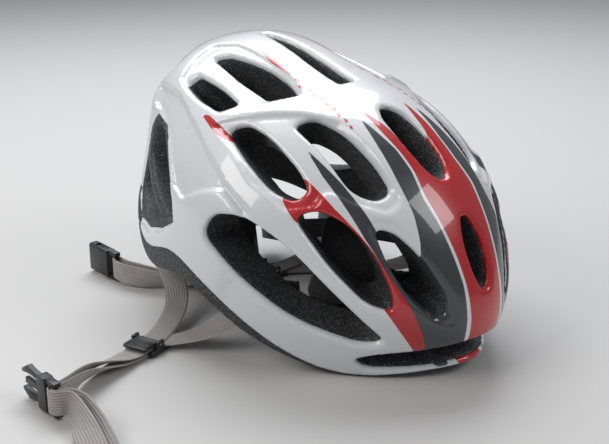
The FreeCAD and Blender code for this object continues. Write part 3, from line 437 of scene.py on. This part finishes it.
def vent_outlines():
    """Each vent of the left half: its axis and its rounded outline on a plane 100 mm from the centre."""
    vents = []
    for name, (make, corners) in {**MIDDLE_VENTS, **SIDE_VENTS}.items():
        directions = [make(a, b) for a, b, _ in corners]
        radii = [r for _, _, r in corners]
        if name in MIDDLE_VENTS:
            others = [(d * (-1, 1, 1), r) for d, r in zip(directions, radii) if abs(d[0]) > 0.01]
            directions += [d for d, _ in others[::-1]]
            radii += [r for _, r in others[::-1]]
        axis = np.sum(directions, 0)
        axis /= np.linalg.norm(axis)
        across = np.cross(axis, (0.0, 0.0, 1.0) if abs(axis[2]) < 0.9 else (0.0, 1.0, 0.0))
        across /= np.linalg.norm(across)
        up = np.cross(axis, across)
        flat = [d * 100 / (d @ axis) for d in directions]
        outline = rounded([(p @ across, p @ up) for p in flat], radii)
        vents.append((axis, across, up, outline))
    return vents


VENTS = vent_outlines()


def vent_distance(points):
    """Signed distance to the nearest vent's wall, negative inside a vent."""
    offset = points - CENTRE
    best = np.full(points.shape[:-1], 40.0)
    for axis, across, up, outline in VENTS:
        along = offset @ axis
        scale = np.maximum(along, 1.0) / 100
        u, v = (offset @ across) / scale, (offset @ up) / scale
        middle = outline.mean(0)
        wide = np.max(np.hypot(*(outline - middle).T)) + 16
        near = (along > 20) & (np.hypot(u - middle[0], v - middle[1]) < wide)
        if near.any():
            best[near] = np.minimum(best[near], polygon_distance(u[near], v[near], outline) * scale[near])
    return best


# --------------------------------------------------
# A flat chart of the surface, for relief and paint: stereographic from the centre, near true size
# --------------------------------------------------
CHART_AXIS = np.array([0.0, -0.45, 0.893])
CHART_UP = np.array([0.0, 0.893, 0.45])


def chart(points):
    offset = np.asarray(points, float) - CENTRE
    unit = offset / (np.linalg.norm(offset, axis=-1)[..., None] + 1e-9)
    scale = 210 / (1 + unit @ CHART_AXIS)
    return np.abs(unit[..., 0]) * scale, (unit @ CHART_UP) * scale


def outline_distance(points, corners, radius):
    """Signed distance on the chart to an outline given by points of the surface, with rounded corners."""
    flat = np.stack(chart(corners), -1)
    u, v = chart(points)
    return polygon_distance(u, v, rounded(flat, [radius] * len(corners), 4))


def on_shell(*angles):
    return [CENTRE + 110 * roll_tilt(roll, tilt) for roll, tilt in angles]


def smooth_step(value, low, high):
    t = np.clip((value - low) / (high - low), 0, 1)
    return t * t * (3 - 2 * t)


# Recesses: outline, corner radius, depth, and how wide the slope down to it is
RECESSES = [
    # the common recess round the two large vents on each side of the crown
    (on_shell((57, 18), (49, 12), (40, 4.5), (31, -4.5), (22.6, -17), (21.9, -31.6), (25.5, -50),
              (36, -50), (44, -41), (47, -33), (54, -34), (62, -27), (62, -12)), 8, 2.3, 2.6),
    # the recess round the two vents at the back of the crown
    (on_shell((53, 48), (40, 53.5), (27.5, 55), (19.5, 47), (19, 16), (23, 4), (37, 9.5), (42, 15),
              (52.5, 19), (54, 34)), 7, 2.0, 2.4),
    # the long hollow between the crease above the side vent and the rear side edge
    ([(58, 112, 92), (70, 82, 106), (80, 55, 108), (90, 24, 107), (96, -4, 104), (97, -21, 102),
      (96, -36, 97), (99, -25, 94), (99, -5, 98), (102, 6, 90), (106, 19, 76), (103, 34, 76),
      (91, 60, 86), (66, 100, 84)], 9, 3.4, 4.0),
    # a shallow sunk band round the front upper vent, up to the crown's stripe
    # the bare corner lies inside the shell's edge
    ([CENTRE + 110 * turn_rise(turn, rise)
      for turn, rise in [(98, -3), (101, 2.5), (108, 8.5), (117, 13), (130, 16), (140, 13.5), (147.5, -8),
                         (148, -22.5), (132, -26), (116, -20.5), (105, -12)]], 7, 1.8, 1.6),
    (on_shell((44, -46), (35, -52), (32.5, -63), (36, -77), (52, -80), (66, -78), (63, -66),
              (54, -55)), 8, 1.2, 2.0),
]


# Swellings: direction of the middle, height, and how wide it spreads, in degrees
SWELLINGS = [
    (roll_tilt(0, 50), 6.5, 28.0),
    (turn_rise(150, 14), 3.5, 15.0),
]


def relief(points):
    """How far the surface lies under the plain form; a swelling lies above it."""
    depth = np.zeros(points.shape[:-1])
    offset = points - CENTRE
    unit = offset / (np.linalg.norm(offset, axis=-1)[..., None] + 1e-9)
    unit = np.abs(unit) * np.where(np.arange(3) == 0, 1, np.sign(unit))
    for corners, radius, deep, slope in RECESSES:
        distance = outline_distance(points, corners, radius)
        depth = np.maximum(depth, deep * smooth_step(-distance, -0.3, slope))
    for middle, height, spread in SWELLINGS:
        angle = np.degrees(np.arccos(np.clip(unit @ middle, -1, 1)))
        depth = depth - height * np.exp(-(angle / spread) ** 2)
    return depth


# the corner behind the side vent, where the foam's ribs stand bare inside the shell's edge
BARE_RADIUS = 6
BARE_CORNER = [CENTRE + 110 * turn_rise(turn, rise)
               for turn, rise in [(99, -3), (101, 1), (108, 7), (117, 11.5), (130, 14.5), (139, 12),
                                  (146, -8),
                                  (146.5, -21), (132, -24.5), (117, -19), (106, -11)]]


def smooth_max(a, b, radius):
    """The larger of two distances, with the edge between them rounded."""
    blend = np.maximum(radius - np.abs(a - b), 0) / radius
    return np.maximum(a, b) + blend * blend * radius / 4


def rim_height(points, stations):
    """Height of a point above a rim line."""
    backs, heights = np.array(stations, float).T
    fine = np.linspace(backs[0], backs[-1], 200)
    steps = len(backs)
    # a natural cubic through the stations
    h = np.diff(backs)
    matrix = np.eye(steps)
    right = np.zeros(steps)
    for k in range(1, steps - 1):
        matrix[k, k - 1:k + 2] = h[k - 1], 2 * (h[k - 1] + h[k]), h[k]
        right[k] = 6 * ((heights[k + 1] - heights[k]) / h[k] - (heights[k] - heights[k - 1]) / h[k - 1])
    bend = np.linalg.solve(matrix, right)
    k = np.clip(np.searchsorted(backs, fine) - 1, 0, steps - 2)
    a, b = (backs[k + 1] - fine) / h[k], (fine - backs[k]) / h[k]
    curve = ((a ** 3 - a) * bend[k] + (b ** 3 - b) * bend[k + 1]) * h[k] ** 2 / 6
    line = a * heights[k] + b * heights[k + 1] + curve
    return points[..., 2] - np.interp(points[..., 1], fine, line)


RIM_SLOPE = 0.93  # turns a height above the sloping rim line into a distance from it
VENT_EDGE = 2.6  # how far the foam's edges are rounded: at the vents, inside and at the rim
CAVITY_EDGE = 2.0
RIM_EDGE = 2.4
NO_VENT = 40.0  # a distance that stands for no vent nearby
SKIN = 60  # vents are worked out only this near the outer surface


def helmet_fields(points):
    """The body's distance, and how deep inside the shell's border a point is (positive on the shell)."""
    outer = form_depth(OUTER, points) + relief(points)
    near = np.abs(outer) < SKIN
    vents = np.full(outer.shape, NO_VENT)
    vents[near] = vent_distance(points[near])
    cavity = form_depth(CAVITY, points)
    rim = rim_height(points, FOAM_RIM) * RIM_SLOPE
    body = smooth_max(outer, -vents, VENT_EDGE)
    body = smooth_max(body, -cavity, CAVITY_EDGE)
    body = smooth_max(body, -rim, RIM_EDGE)
    bare = outline_distance(points, BARE_CORNER, BARE_RADIUS)
    edge = rim_height(points, SHELL_RIM) * RIM_SLOPE
    cover = np.minimum(np.minimum(LIP_DEEP + outer, edge), bare)
    return body, cover


# -------------------------------------------------- From a field on a grid to a mesh: surface nets, moved onto the grid's zero surface
# From a field on a grid to a mesh: surface nets, moved onto the exact surface
# --------------------------------------------------
def surface_net(field, origin, step):
    inside = field < 0
    shape = np.array(field.shape) - 1
    corners = [(i, j, k) for i in (0, 1) for j in (0, 1) for k in (0, 1)]

    def corner(array, offset):
        return array[tuple(slice(o, o + n) for o, n in zip(offset, shape))]

    count = sum(corner(inside, c).astype(np.int8) for c in corners)
    active = (count > 0) & (count < 8)
    cells = np.argwhere(active)
    index = np.full(tuple(shape), -1, np.int64)
    index[active] = np.arange(len(cells))
    total, crossings = np.zeros((len(cells), 3)), np.zeros(len(cells))
    for a in corners:
        for axis in range(3):
            if a[axis]:
                continue
            b = tuple(v + (axis == m) for m, v in enumerate(a))
            first = field[tuple((cells + a).T)]
            second = field[tuple((cells + b).T)]
            cut = (first < 0) != (second < 0)
            t = first[cut] / (first[cut] - second[cut])
            spot = np.tile(np.array(a, float), (len(t), 1))
            spot[:, axis] += t
            total[cut] += spot
            crossings[cut] += 1
    points = origin + step * (cells + total / crossings[:, None])
    quads = []
    for axis in range(3):
        one, two = (axis + 1) % 3, (axis + 2) % 3
        low = [slice(1, -1)] * 3
        low[axis] = slice(0, -1)
        high = list(low)
        high[axis] = slice(1, None)
        first, second = inside[tuple(low)], inside[tuple(high)]
        for way, wanted in ((1, first & ~second), (-1, second & ~first)):
            spots = np.argwhere(wanted)
            base = spots + 1
            base[:, axis] -= 1
            ring = []
            for da, db in ((0, 0), (-1, 0), (-1, -1), (0, -1))[::way]:
                cell = base.copy()
                cell[:, one] += da
                cell[:, two] += db
                ring.append(index[tuple(cell.T)])
            quads.append(np.stack(ring, -1))
    return points, np.concatenate(quads)


def sample(grid, origin, step, points):
    """Trilinear value of a grid at points."""
    place = (points - origin) / step
    base = np.clip(np.floor(place).astype(int), 0, np.array(grid.shape) - 2)
    f = place - base
    value = 0
    for i in (0, 1):
        for j in (0, 1):
            for k in (0, 1):
                weight = (f[:, 0] if i else 1 - f[:, 0]) * (f[:, 1] if j else 1 - f[:, 1]) \
                    * (f[:, 2] if k else 1 - f[:, 2])
                value = value + weight * grid[base[:, 0] + i, base[:, 1] + j, base[:, 2] + k]
    return value


def settle(points, grid, origin, step, rounds=3):
    """Moves points along the gradient onto the grid's zero surface."""
    for _ in range(rounds):
        value = sample(grid, origin, step, points)
        slope = np.stack([(sample(grid, origin, step, points + e) - sample(grid, origin, step, points - e))
                          for e in np.eye(3) * 0.6 * step], -1) / (1.2 * step)
        size = np.sum(slope ** 2, -1)
        move = -value / np.maximum(size, 0.2)
        points = points + slope * np.clip(move, -0.6 * step, 0.6 * step)[:, None]
    return points


def clip(points, faces, values):
    """Keeps the part of a mesh where values are positive, cutting faces along the border."""
    keep_point = values > 0
    inside = keep_point[faces]
    whole = faces[inside.all(1)]
    mixed = faces[inside.any(1) & ~inside.all(1)]
    extra, lookup, polygons = [], {}, []
    for face in mixed:
        ring = []
        for a, b in zip(face, np.roll(face, -1)):
            if keep_point[a]:
                ring.append(int(a))
            if keep_point[a] != keep_point[b]:
                key = (min(a, b), max(a, b))
                if key not in lookup:
                    p, q = key
                    t = np.clip(values[p] / (values[p] - values[q]), 0.02, 0.98)
                    lookup[key] = len(points) + len(extra)
                    extra.append(points[p] + t * (points[q] - points[p]))
                ring.append(lookup[key])
        if len(ring) > 2:
            polygons.append(ring)
    if extra:
        points = np.concatenate([points, extra])
    polygons = [list(map(int, face)) for face in whole] + polygons
    used = sorted({v for face in polygons for v in face})
    new = {old: k for k, old in enumerate(used)}
    return points[used], [[new[v] for v in face] for face in polygons]


def new_piece(name, points, faces, body):
    mesh = bpy.data.meshes.new(name)
    mesh.from_pydata([tuple(p) for p in points], [], [tuple(f) for f in faces])
    mesh.validate()
    mesh.polygons.foreach_set("use_smooth", [True] * len(mesh.polygons))
    piece = bpy.data.objects.new(name, mesh)
    bpy.context.collection.objects.link(piece)
    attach(piece, body)
    return piece


def applied(piece):
    """Replaces a piece's mesh by the mesh its modifiers make."""
    graph = bpy.context.evaluated_depsgraph_get()
    mesh = bpy.data.meshes.new_from_object(piece.evaluated_get(graph))
    piece.modifiers.clear()
    piece.data = mesh
    return piece


# --------------------------------------------------
# Shell and liner
# --------------------------------------------------
# Painted areas of the left half, as corners on the surface; the right half mirrors them
CENTRE_STRIPE = [(18.5, -21, 149), (19, -43, 146), (18, -58, 143), (18, -72, 139), (20, -86, 132),
                 (18, -102, 122), (16, -117, 111), (14, -130, 97), (13, -140, 82), (12.5, -147, 60),
                 (12, -150, 44)]
CENTRE_FORK = [(17.5, -22, 149), (13.5, -38, 148), (11.5, -52, 145), (6, -72, 140)]


def flecks():
    """Flecks of paint beyond the streak's end, smaller and sparser towards the front."""
    found = []
    for k in range(10):
        along = k / 9
        back = 25 - 54 * along
        across = 26.5 + 5.5 * along ** 0.7 + (1.5 if k % 2 else -1.0) * (1 - 0.8 * along)
        high = 145.2 - 0.0042 * (back + 18) ** 2
        wide, long = 1.15 - 0.2 * along, 2.6 - 0.9 * along
        found.append([(across - wide, back + long, high), (across - wide + 0.5, back - long, high),
                      (across + wide + 0.5, back - long - 0.8, high), (across + wide, back + long, high)])
    return found


STRIPES = {
    "red_stripes": [
        CENTRE_STRIPE + [(-x, y, z) for x, y, z in reversed(CENTRE_STRIPE)]
        + [(-x, y, z) for x, y, z in CENTRE_FORK] + CENTRE_FORK[::-1],
        [(70, -37, 124), (84, -35, 112), (84, -52, 107), (79, -68, 102), (70, -84, 96), (62, -100, 86),
         (54, -113, 77), (47, -122, 67), (37, -132, 53), (32, -137, 47), (30.5, -137, 56), (38, -127, 75),
         (46, -116, 89), (52, -104, 98), (60.5, -82, 112), (65.5, -63, 118), (69, -46, 123)],
        [(78, 46, 113), (77, 43, 116), (80, 24, 118), (82, 11, 118), (84, 22, 115), (82, 33, 114)],
        [(3.4 * math.cos(k * math.pi / 4), -26 + 3.4 * math.sin(k * math.pi / 4), 149) for k in range(8)],
    ],
    "grey_stripes": [
        [(23.5, -24, 147), (27.5, -48, 142), (30.5, -71, 135), (31.5, -91, 125), (35, -109, 109),
         (36, -121, 91), (33, -132, 71), (30, -139, 52), (27, -142, 42), (14.5, -148, 44), (15, -146, 62),
         (15.5, -139, 82), (16, -129, 98), (18, -116, 111), (20, -101, 123), (22, -86, 131),
         (19.5, -71, 139),
         (19.5, -56, 144), (21.5, -41, 146)],
        [(61.5, -24, 134), (63, -45, 128), (61, -63, 121), (58, -84, 110), (52, -103, 97), (44, -118, 84),
         (36, -130, 66), (32, -137, 51), (27.5, -139, 53), (33, -130, 76), (38, -120, 89), (47, -100, 104),
         (52, -86, 115), (54.5, -70, 123), (56.5, -56, 128), (59.5, -38, 132)],
    ],
    "pale_stripes": flecks() + [
        [(18.6, 86, 129), (20.8, 66, 134.5), (22.6, 54, 137), (24, 42, 139.4), (27.5, 28, 141.5),
         (26.6, 40, 139.3), (26, 51, 137), (22.9, 66, 134.2)],
    ],
}
STRIPE_COLOURS = {"red_stripes": RED, "grey_stripes": GREY, "pale_stripes": (0.60, 0.06, 0.07)}
GRID_STEP = 1.5
GRID_LOW = np.array([0.0, -151.0, -2.0])
GRID_HIGH = np.array([114.0, 150.0, 160.0])


def stripe_distance(points, corners):
    offset = np.asarray(corners, float) - CENTRE
    unit = offset / np.linalg.norm(offset, axis=-1)[..., None]
    scale = 210 / (1 + unit @ CHART_AXIS)
    flat = np.stack([unit[:, 0] * scale, (unit @ CHART_UP) * scale], -1)
    u, v = chart(points)
    return -polygon_distance(u, v, rounded(flat, [12] * len(flat), 4))


def helmet_grid():
    """The fields on a grid over the left half, mirrored to both halves."""
    counts = np.ceil((GRID_HIGH - GRID_LOW) / GRID_STEP).astype(int) + 1
    axes = [GRID_LOW[k] + GRID_STEP * np.arange(counts[k]) for k in range(3)]
    points = np.stack(np.meshgrid(*axes, indexing="ij"), -1)
    body, cover = helmet_fields(points)
    whole = [np.concatenate([field[:0:-1], field]) for field in (body, cover)]
    origin = GRID_LOW - np.array([(counts[0] - 1) * GRID_STEP, 0, 0])
    return whole[0], whole[1], origin


def add_values(mesh, name, values):
    mesh.attributes.new(name, "FLOAT", "POINT").data.foreach_set("value", np.asarray(values, np.float32))


def make_shell(body, origin):
    points, faces = surface_net(body, origin, GRID_STEP)
    points = settle(points, body, origin, GRID_STEP)
    _, border = helmet_fields(points)
    points, faces = clip(points, faces, border)
    _, border = helmet_fields(points)
    shell = new_piece("painted_shell", to_row(points), faces, "helmet")
    for name, outlines in STRIPES.items():
        distance = np.max([stripe_distance(points, corners) for corners in outlines], axis=0)
        add_values(shell.data, name, distance)
    add_values(shell.data, "lip", border)
    thick = shell.modifiers.new("thickness", "SOLIDIFY")
    thick.thickness = SHELL_THICK * MM
    thick.offset = -1
    applied(shell)
    shell.data.materials.append(shell_paint())
    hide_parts("outer_shell")


def make_liner(body, cover, origin, material):
    """The foam body, set back under the shell by the shell's thickness and a hair of clearance."""
    under_shell = (SHELL_THICK + SHELL_GAP) * smooth_step(cover, -0.5, 0.4)
    field = body + under_shell
    points, faces = surface_net(field, origin, GRID_STEP)
    points = settle(points, field, origin, GRID_STEP)
    liner = new_piece("foam_moulding", to_row(points), faces, "helmet")
    liner.data.materials.append(material)
    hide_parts("foam_liner")


# --------------------------------------------------
# Webbing: flat ribbons along listed routes
# --------------------------------------------------
TAPE_WIDE = 15.0
TAPE_THICK = 1.3
# Each stretch: points of the tape's middle line and the direction of its width there, in millimetres
RIGHT_FRONT = [
    ((-88, -22.7, 34), (0, .93, .37)), ((-88, -20, 27), (0, .93, .37)),
    ((-91.5, -13, 19.5), (.35, .75, .55)),
    ((-98, -4, 12), (.6, .7, .35)), ((-106, 8, 5.5), (.75, .6, .1)), ((-117.2, 20.6, 1.7), (.75, .66, 0))]
RIGHT_REAR = [
    ((-80, 71.5, 51.5), (0, .93, .37)), ((-79.5, 74, 43), (-.1, .95, .3)), ((-78, 69, 33), (-.4, .8, -.3)),
    ((-77, 57, 21), (-.85, .4, -.3)), ((-86, 42, 12), (-.8, .5, 0)), ((-101, 31, 6.4), (-.55, .8, 0)),
    ((-117.2, 22.9, 3.5), (-.45, .89, 0))]
RIGHT_INNER = [
    ((-134.8, 16.3, 1.2), (.3, -.95, 0)), ((-150, 11.6, 1.8), (.3, -.95, .1)),
    ((-166, 7, 4.4), (.2, -.85, .5)),
    ((-182, 0.5, 8), (.1, -.6, .8)), ((-195, -9, 10), (0, -.3, .95)), ((-203, -14.2, 11), (0, 0, 1)),
    ((-212.4, -15.6, 11.4), (0, 0, 1)), ((-212.4, -20.4, 11.4), (0, 0, 1)), ((-204, -21.6, 11), (.1, 0, 1)),
    ((-201, -30, 9.8), (.35, .1, .9)), ((-203.5, -42, 7.8), (.6, 0, .7)), ((-207, -56, 5), (.9, -.25, .3)),
    ((-212, -74, 1.7), (.95, -.3, .05)), ((-219, -92, 1.0), (.93, -.36, 0))]
RIGHT_OUTER = [
    ((-134.8, 16.3, 2.9), (.3, -.95, 0)), ((-149.4, 12.2, 4.3), (.3, -.95, .1)),
    ((-164.6, 9.2, 7.4), (.2, -.85, .5)), ((-180.3, 3.8, 10), (.1, -.6, .8)),
    ((-193.6, -5.8, 11.2), (0, -.3, .95)), ((-202.6, -12, 11.4), (0, 0, 1)),
    ((-214.2, -13.8, 11.6), (0, 0, 1)),
    ((-214.2, -22.2, 11.6), (0, 0, 1)), ((-206, -24, 11.4), (.1, 0, 1)),
    ((-206.5, -32, 10.6), (.35, .1, .9)),
    ((-210, -43, 9), (.6, 0, .7)), ((-214, -57, 7), (.9, -.25, .3)), ((-219, -74, 4.2), (.95, -.3, .05)),
    ((-226, -90, 3), (.93, -.36, 0))]
LEFT_FRONT = [
    ((88, -22.7, 34), (0, .93, .37)), ((88, -20, 25), (.05, .95, .3)), ((86, -12, 14), (.3, .9, .3)),
    ((77, 5, 5.5), (.65, .75, .1)), ((60, 26, 2), (.7, .7, 0)), ((40, 44, 1.4), (.66, .75, 0)),
    ((20.3, 60.3, 1.5), (.17, .98, 0))]
LEFT_REAR = [
    ((80, 71.5, 51.5), (0, .93, .37)), ((80, 74.5, 42), (0, .95, .3)), ((79, 76, 30), (0, 1, .1)),
    ((75, 74, 16), (.1, 1, .1)), ((64, 70, 5.5), (.1, 1, 0)), ((47, 65, 2.8), (.1, 1, 0)),
    ((20.3, 60.9, 3.4), (.17, .98, 0))]
LEFT_CHIN = [
    ((-.3, 63.2, 1.2), (.17, -.98, 0)), ((-15, 64.8, 1.4), (.1, -.99, 0)),
    ((-31, 67.4, 1.7), (-.2, -.98, 0)),
    ((-44, 74, 2.3), (-.5, -.85, .12)), ((-54.5, 84, 5.6), (-.45, -.55, .6)),
    ((-64, 94.5, 8), (-.2, -.25, .95)),
    ((-72, 106, 9.2), (0, 0, 1)), ((-76.8, 117, 10.2), (0, 0, 1)), ((-77.6, 127.4, 11.2), (0, 0, 1)),
    ((-82.4, 127.4, 11.2), (0, 0, 1)), ((-83.4, 116, 10.2), (0, 0, 1)), ((-78.5, 104, 9.4), (0, 0, 1)),
    ((-69.5, 93, 8.6), (-.2, -.25, .95)), ((-57.5, 80.5, 7.4), (-.45, -.55, .6)),
    ((-45.6, 71, 4.3), (-.5, -.85, .12)), ((-32, 65, 3.6), (-.2, -.98, 0)), ((-15, 63.2, 3), (.1, -.99, 0)),
    ((-.3, 62.2, 2.9), (.17, -.98, 0))]


def smooth_line(points):
    """Points along the smooth curve whose control points are the given ones, in metres."""
    curve = bpy.data.curves.new("line", "CURVE")
    curve.dimensions = "3D"
    curve.resolution_u = 10
    spline = curve.splines.new("NURBS")
    spline.points.add(len(points) - 1)
    for control, point in zip(spline.points, points):
        control.co = (*point, 1)
    spline.order_u = 3
    spline.use_endpoint_u = True
    line = bpy.data.objects.new("line", curve)
    bpy.context.collection.objects.link(line)
    graph = bpy.context.evaluated_depsgraph_get()
    mesh = bpy.data.meshes.new_from_object(line.evaluated_get(graph))
    found = np.array([tuple(v.co) for v in mesh.vertices])
    bpy.data.objects.remove(line)
    bpy.data.curves.remove(curve)
    bpy.data.meshes.remove(mesh)
    return found


def tape_section():
    """The tape's cross-section: across from -1 to 1 and thickness, with rolled selvedges and fine ribs."""
    ribs = 9
    across = np.linspace(-1, 1, 4 * ribs + 1)
    full = 1 - 0.75 * np.abs(across) ** 14
    height = 0.5 * TAPE_THICK * full * (0.90 + 0.10 * np.cos(across * ribs * math.pi))
    top = np.stack([across * TAPE_WIDE / 2, height], -1)
    bottom = np.stack([across[::-1] * TAPE_WIDE / 2, -height[::-1]], -1)
    return np.concatenate([top, bottom]), np.concatenate([across, across[::-1]]) * 0.5 + 0.5


def make_tape(name, route, nodes, material):
    route = [(np.array(p, float) * MM, np.array(w, float)) for p, w in route]
    for k in range(1, len(route)):
        if route[k][1] @ route[k - 1][1] < 0:
            route[k] = (route[k][0], -route[k][1])
    line = smooth_line([p for p, _ in route])
    # the width directions, smoothed by the same kind of curve, are carried along the line
    widths = smooth_line([w / np.linalg.norm(w) for _, w in route])
    steps = np.linalg.norm(np.diff(line, axis=0), axis=1)
    ran = np.concatenate([[0], np.cumsum(steps)])
    length = ran[-1]
    spacing = 0.0011
    count = int(length / spacing)
    even = np.linspace(0, length, count)
    path = np.stack([np.interp(even, ran, line[:, k]) for k in range(3)], -1)
    wide = np.stack([np.interp(even, ran, widths[:, k]) for k in range(3)], -1)
    ahead = np.gradient(path, axis=0)
    ahead /= np.linalg.norm(ahead, axis=1)[:, None]
    wide -= ahead * np.sum(wide * ahead, 1)[:, None]
    wide /= np.linalg.norm(wide, axis=1)[:, None]
    normal = np.cross(ahead, wide)
    section, across = tape_section()
    waver = 1 + 0.012 * np.where(np.arange(count) % 2, 1, -1)
    ring = (section[None, :, :1] * waver[:, None, None] * wide[:, None, :]
            + section[None, :, 1:] * normal[:, None, :]) * MM
    points = (path[:, None, :] + ring).reshape(-1, 3)
    size = len(section)
    faces = [(r * size + k, r * size + (k + 1) % size, (r + 1) * size + (k + 1) % size, (r + 1) * size + k)
             for r in range(count - 1) for k in range(size)]
    faces.append(tuple(range(size)))
    faces.append(tuple(reversed(range((count - 1) * size, count * size))))
    tape = new_piece(name, points, faces, "helmet")
    layer = tape.data.uv_layers.new(name="tape")
    corners = np.array([loop.vertex_index for loop in tape.data.loops])
    values = np.stack([across[corners % size], even[corners // size] / MM], -1)
    layer.data.foreach_set("uv", values.ravel().astype(np.float32))
    tape.data.materials.append(material)
    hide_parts(*nodes)


def make_harness(hardware, material):
    """The three tapes, each made in place of the strap nodes that it hides."""
    make_tape("right_front_tape", RIGHT_FRONT + RIGHT_INNER, ["right_front_strap", "right_chin_strap_inner"],
              material)
    make_tape("right_rear_tape", RIGHT_REAR + RIGHT_OUTER, ["right_rear_strap", "right_chin_strap_outer"],
              material)
    make_tape("left_tape", LEFT_FRONT + LEFT_CHIN + LEFT_REAR[::-1],
              ["left_front_strap", "left_rear_strap", "left_chin_strap"],
              material)


# --------------------------------------------------
# Moulded hardware and pads, made from the shapes of their own nodes
# --------------------------------------------------
SOFT_NODES = ["brow_pad", "crown_pad", "left_top_pad", "right_top_pad", "left_temple_pad",
              "right_temple_pad", "left_nape_pad", "right_nape_pad"]
BARE_NODES = ["cover_screws", "pad_discs", "left_divider_pin", "right_divider_pin", "dial_cap"]


def body_with(node):
    return next(body for body, nodes in frame["record"]["behaviour"]["bodies"].items() if node in nodes)


def copy_of_node(node, name):
    mesh = frame["nodes"][node].data.copy()
    mesh.materials.clear()
    piece = bpy.data.objects.new(name, mesh)
    bpy.context.collection.objects.link(piece)
    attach(piece, body_with(node))
    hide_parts(node)
    return piece


def weld(piece):
    join = piece.modifiers.new("weld", "WELD")
    join.merge_threshold = 0.00002


def make_moulding(node, material, width=0.00035):
    """The node's own shape with its sharp edges broken, as a moulding's are."""
    piece = copy_of_node(node, node + "_moulding")
    weld(piece)
    flat = piece.modifiers.new("flat", "DECIMATE")
    flat.decimate_type = "DISSOLVE"
    flat.angle_limit = math.radians(1.0)
    bevel = piece.modifiers.new("edges", "BEVEL")
    bevel.width = width
    bevel.segments = 2
    bevel.limit_method = "ANGLE"
    bevel.angle_limit = math.radians(35)
    bevel.use_clamp_overlap = True
    applied(piece)
    piece.data.shade_smooth()
    piece.data.set_sharp_from_angle(angle=math.radians(40))
    piece.data.materials.append(material)
    return piece


def make_pad(node, material):
    """A cushion: the node's space, swelled a little by cloth simulation under inner pressure."""
    piece = copy_of_node(node, node + "_cushion")
    weld(piece)
    skin = piece.modifiers.new("skin", "REMESH")
    skin.mode = "VOXEL"
    skin.voxel_size = 0.0022
    applied(piece)
    mesh = piece.data
    count = len(mesh.vertices)
    rest = np.empty(count * 3)
    mesh.vertices.foreach_get("co", rest)
    normals = np.empty(count * 3)
    mesh.vertices.foreach_get("normal", normals)
    rest = rest.reshape(-1, 3)
    start = rest - normals.reshape(-1, 3) * 0.0009
    mesh.vertices.foreach_set("co", start.ravel())
    cloth = piece.modifiers.new("cloth", "CLOTH")
    cloth.settings.use_pressure = True
    cloth.settings.uniform_pressure_force = 4.0
    cloth.settings.effector_weights.gravity = 0.0
    cloth.settings.quality = 3
    scene = bpy.context.scene
    for step in range(1, 13):
        scene.frame_set(step)
    graph = bpy.context.evaluated_depsgraph_get()
    swelled = np.empty(count * 3)
    piece.evaluated_get(graph).data.vertices.foreach_get("co", swelled)
    piece.modifiers.clear()
    scene.frame_set(1)
    move = swelled.reshape(-1, 3) - start
    far = np.linalg.norm(move, axis=1)[:, None]
    start = start + move * np.minimum(1, 0.0012 / np.maximum(far, 1e-9))
    mesh.vertices.foreach_set("co", start.ravel())
    smooth = piece.modifiers.new("smooth", "SMOOTH")
    smooth.iterations = 2
    fine = piece.modifiers.new("fine", "SUBSURF")
    fine.levels = fine.render_levels = 1
    applied(piece)
    piece.data.shade_smooth()
    piece.data.materials.append(material)


def make_hardware(materials):
    """Every hard node: its moulded copy, or the node itself where it needs no edges broken."""
    slots = {part["node"]: part["material_slot"] for part in frame["record"]["subparts"]}
    hardware = {}
    for node, slot in slots.items():
        if node in SOFT_NODES + ["outer_shell", "foam_liner"] or slot == "webbing":
            continue
        if node in BARE_NODES:
            hardware[node] = frame["nodes"][node]
            for holder in hardware[node].material_slots:
                holder.material = materials[slot]
        else:
            hardware[node] = make_moulding(node, materials[slot])
    return hardware


def main():
    make_camera()
    make_stage()
    materials = plain_materials()
    make_harness(make_hardware(materials), materials["webbing"])
    body, cover, origin = helmet_grid()
    make_shell(body, origin)
    make_liner(body, cover, origin, materials["foam"])
    for node in SOFT_NODES:
        make_pad(node, materials["pad_fabric"])


main()
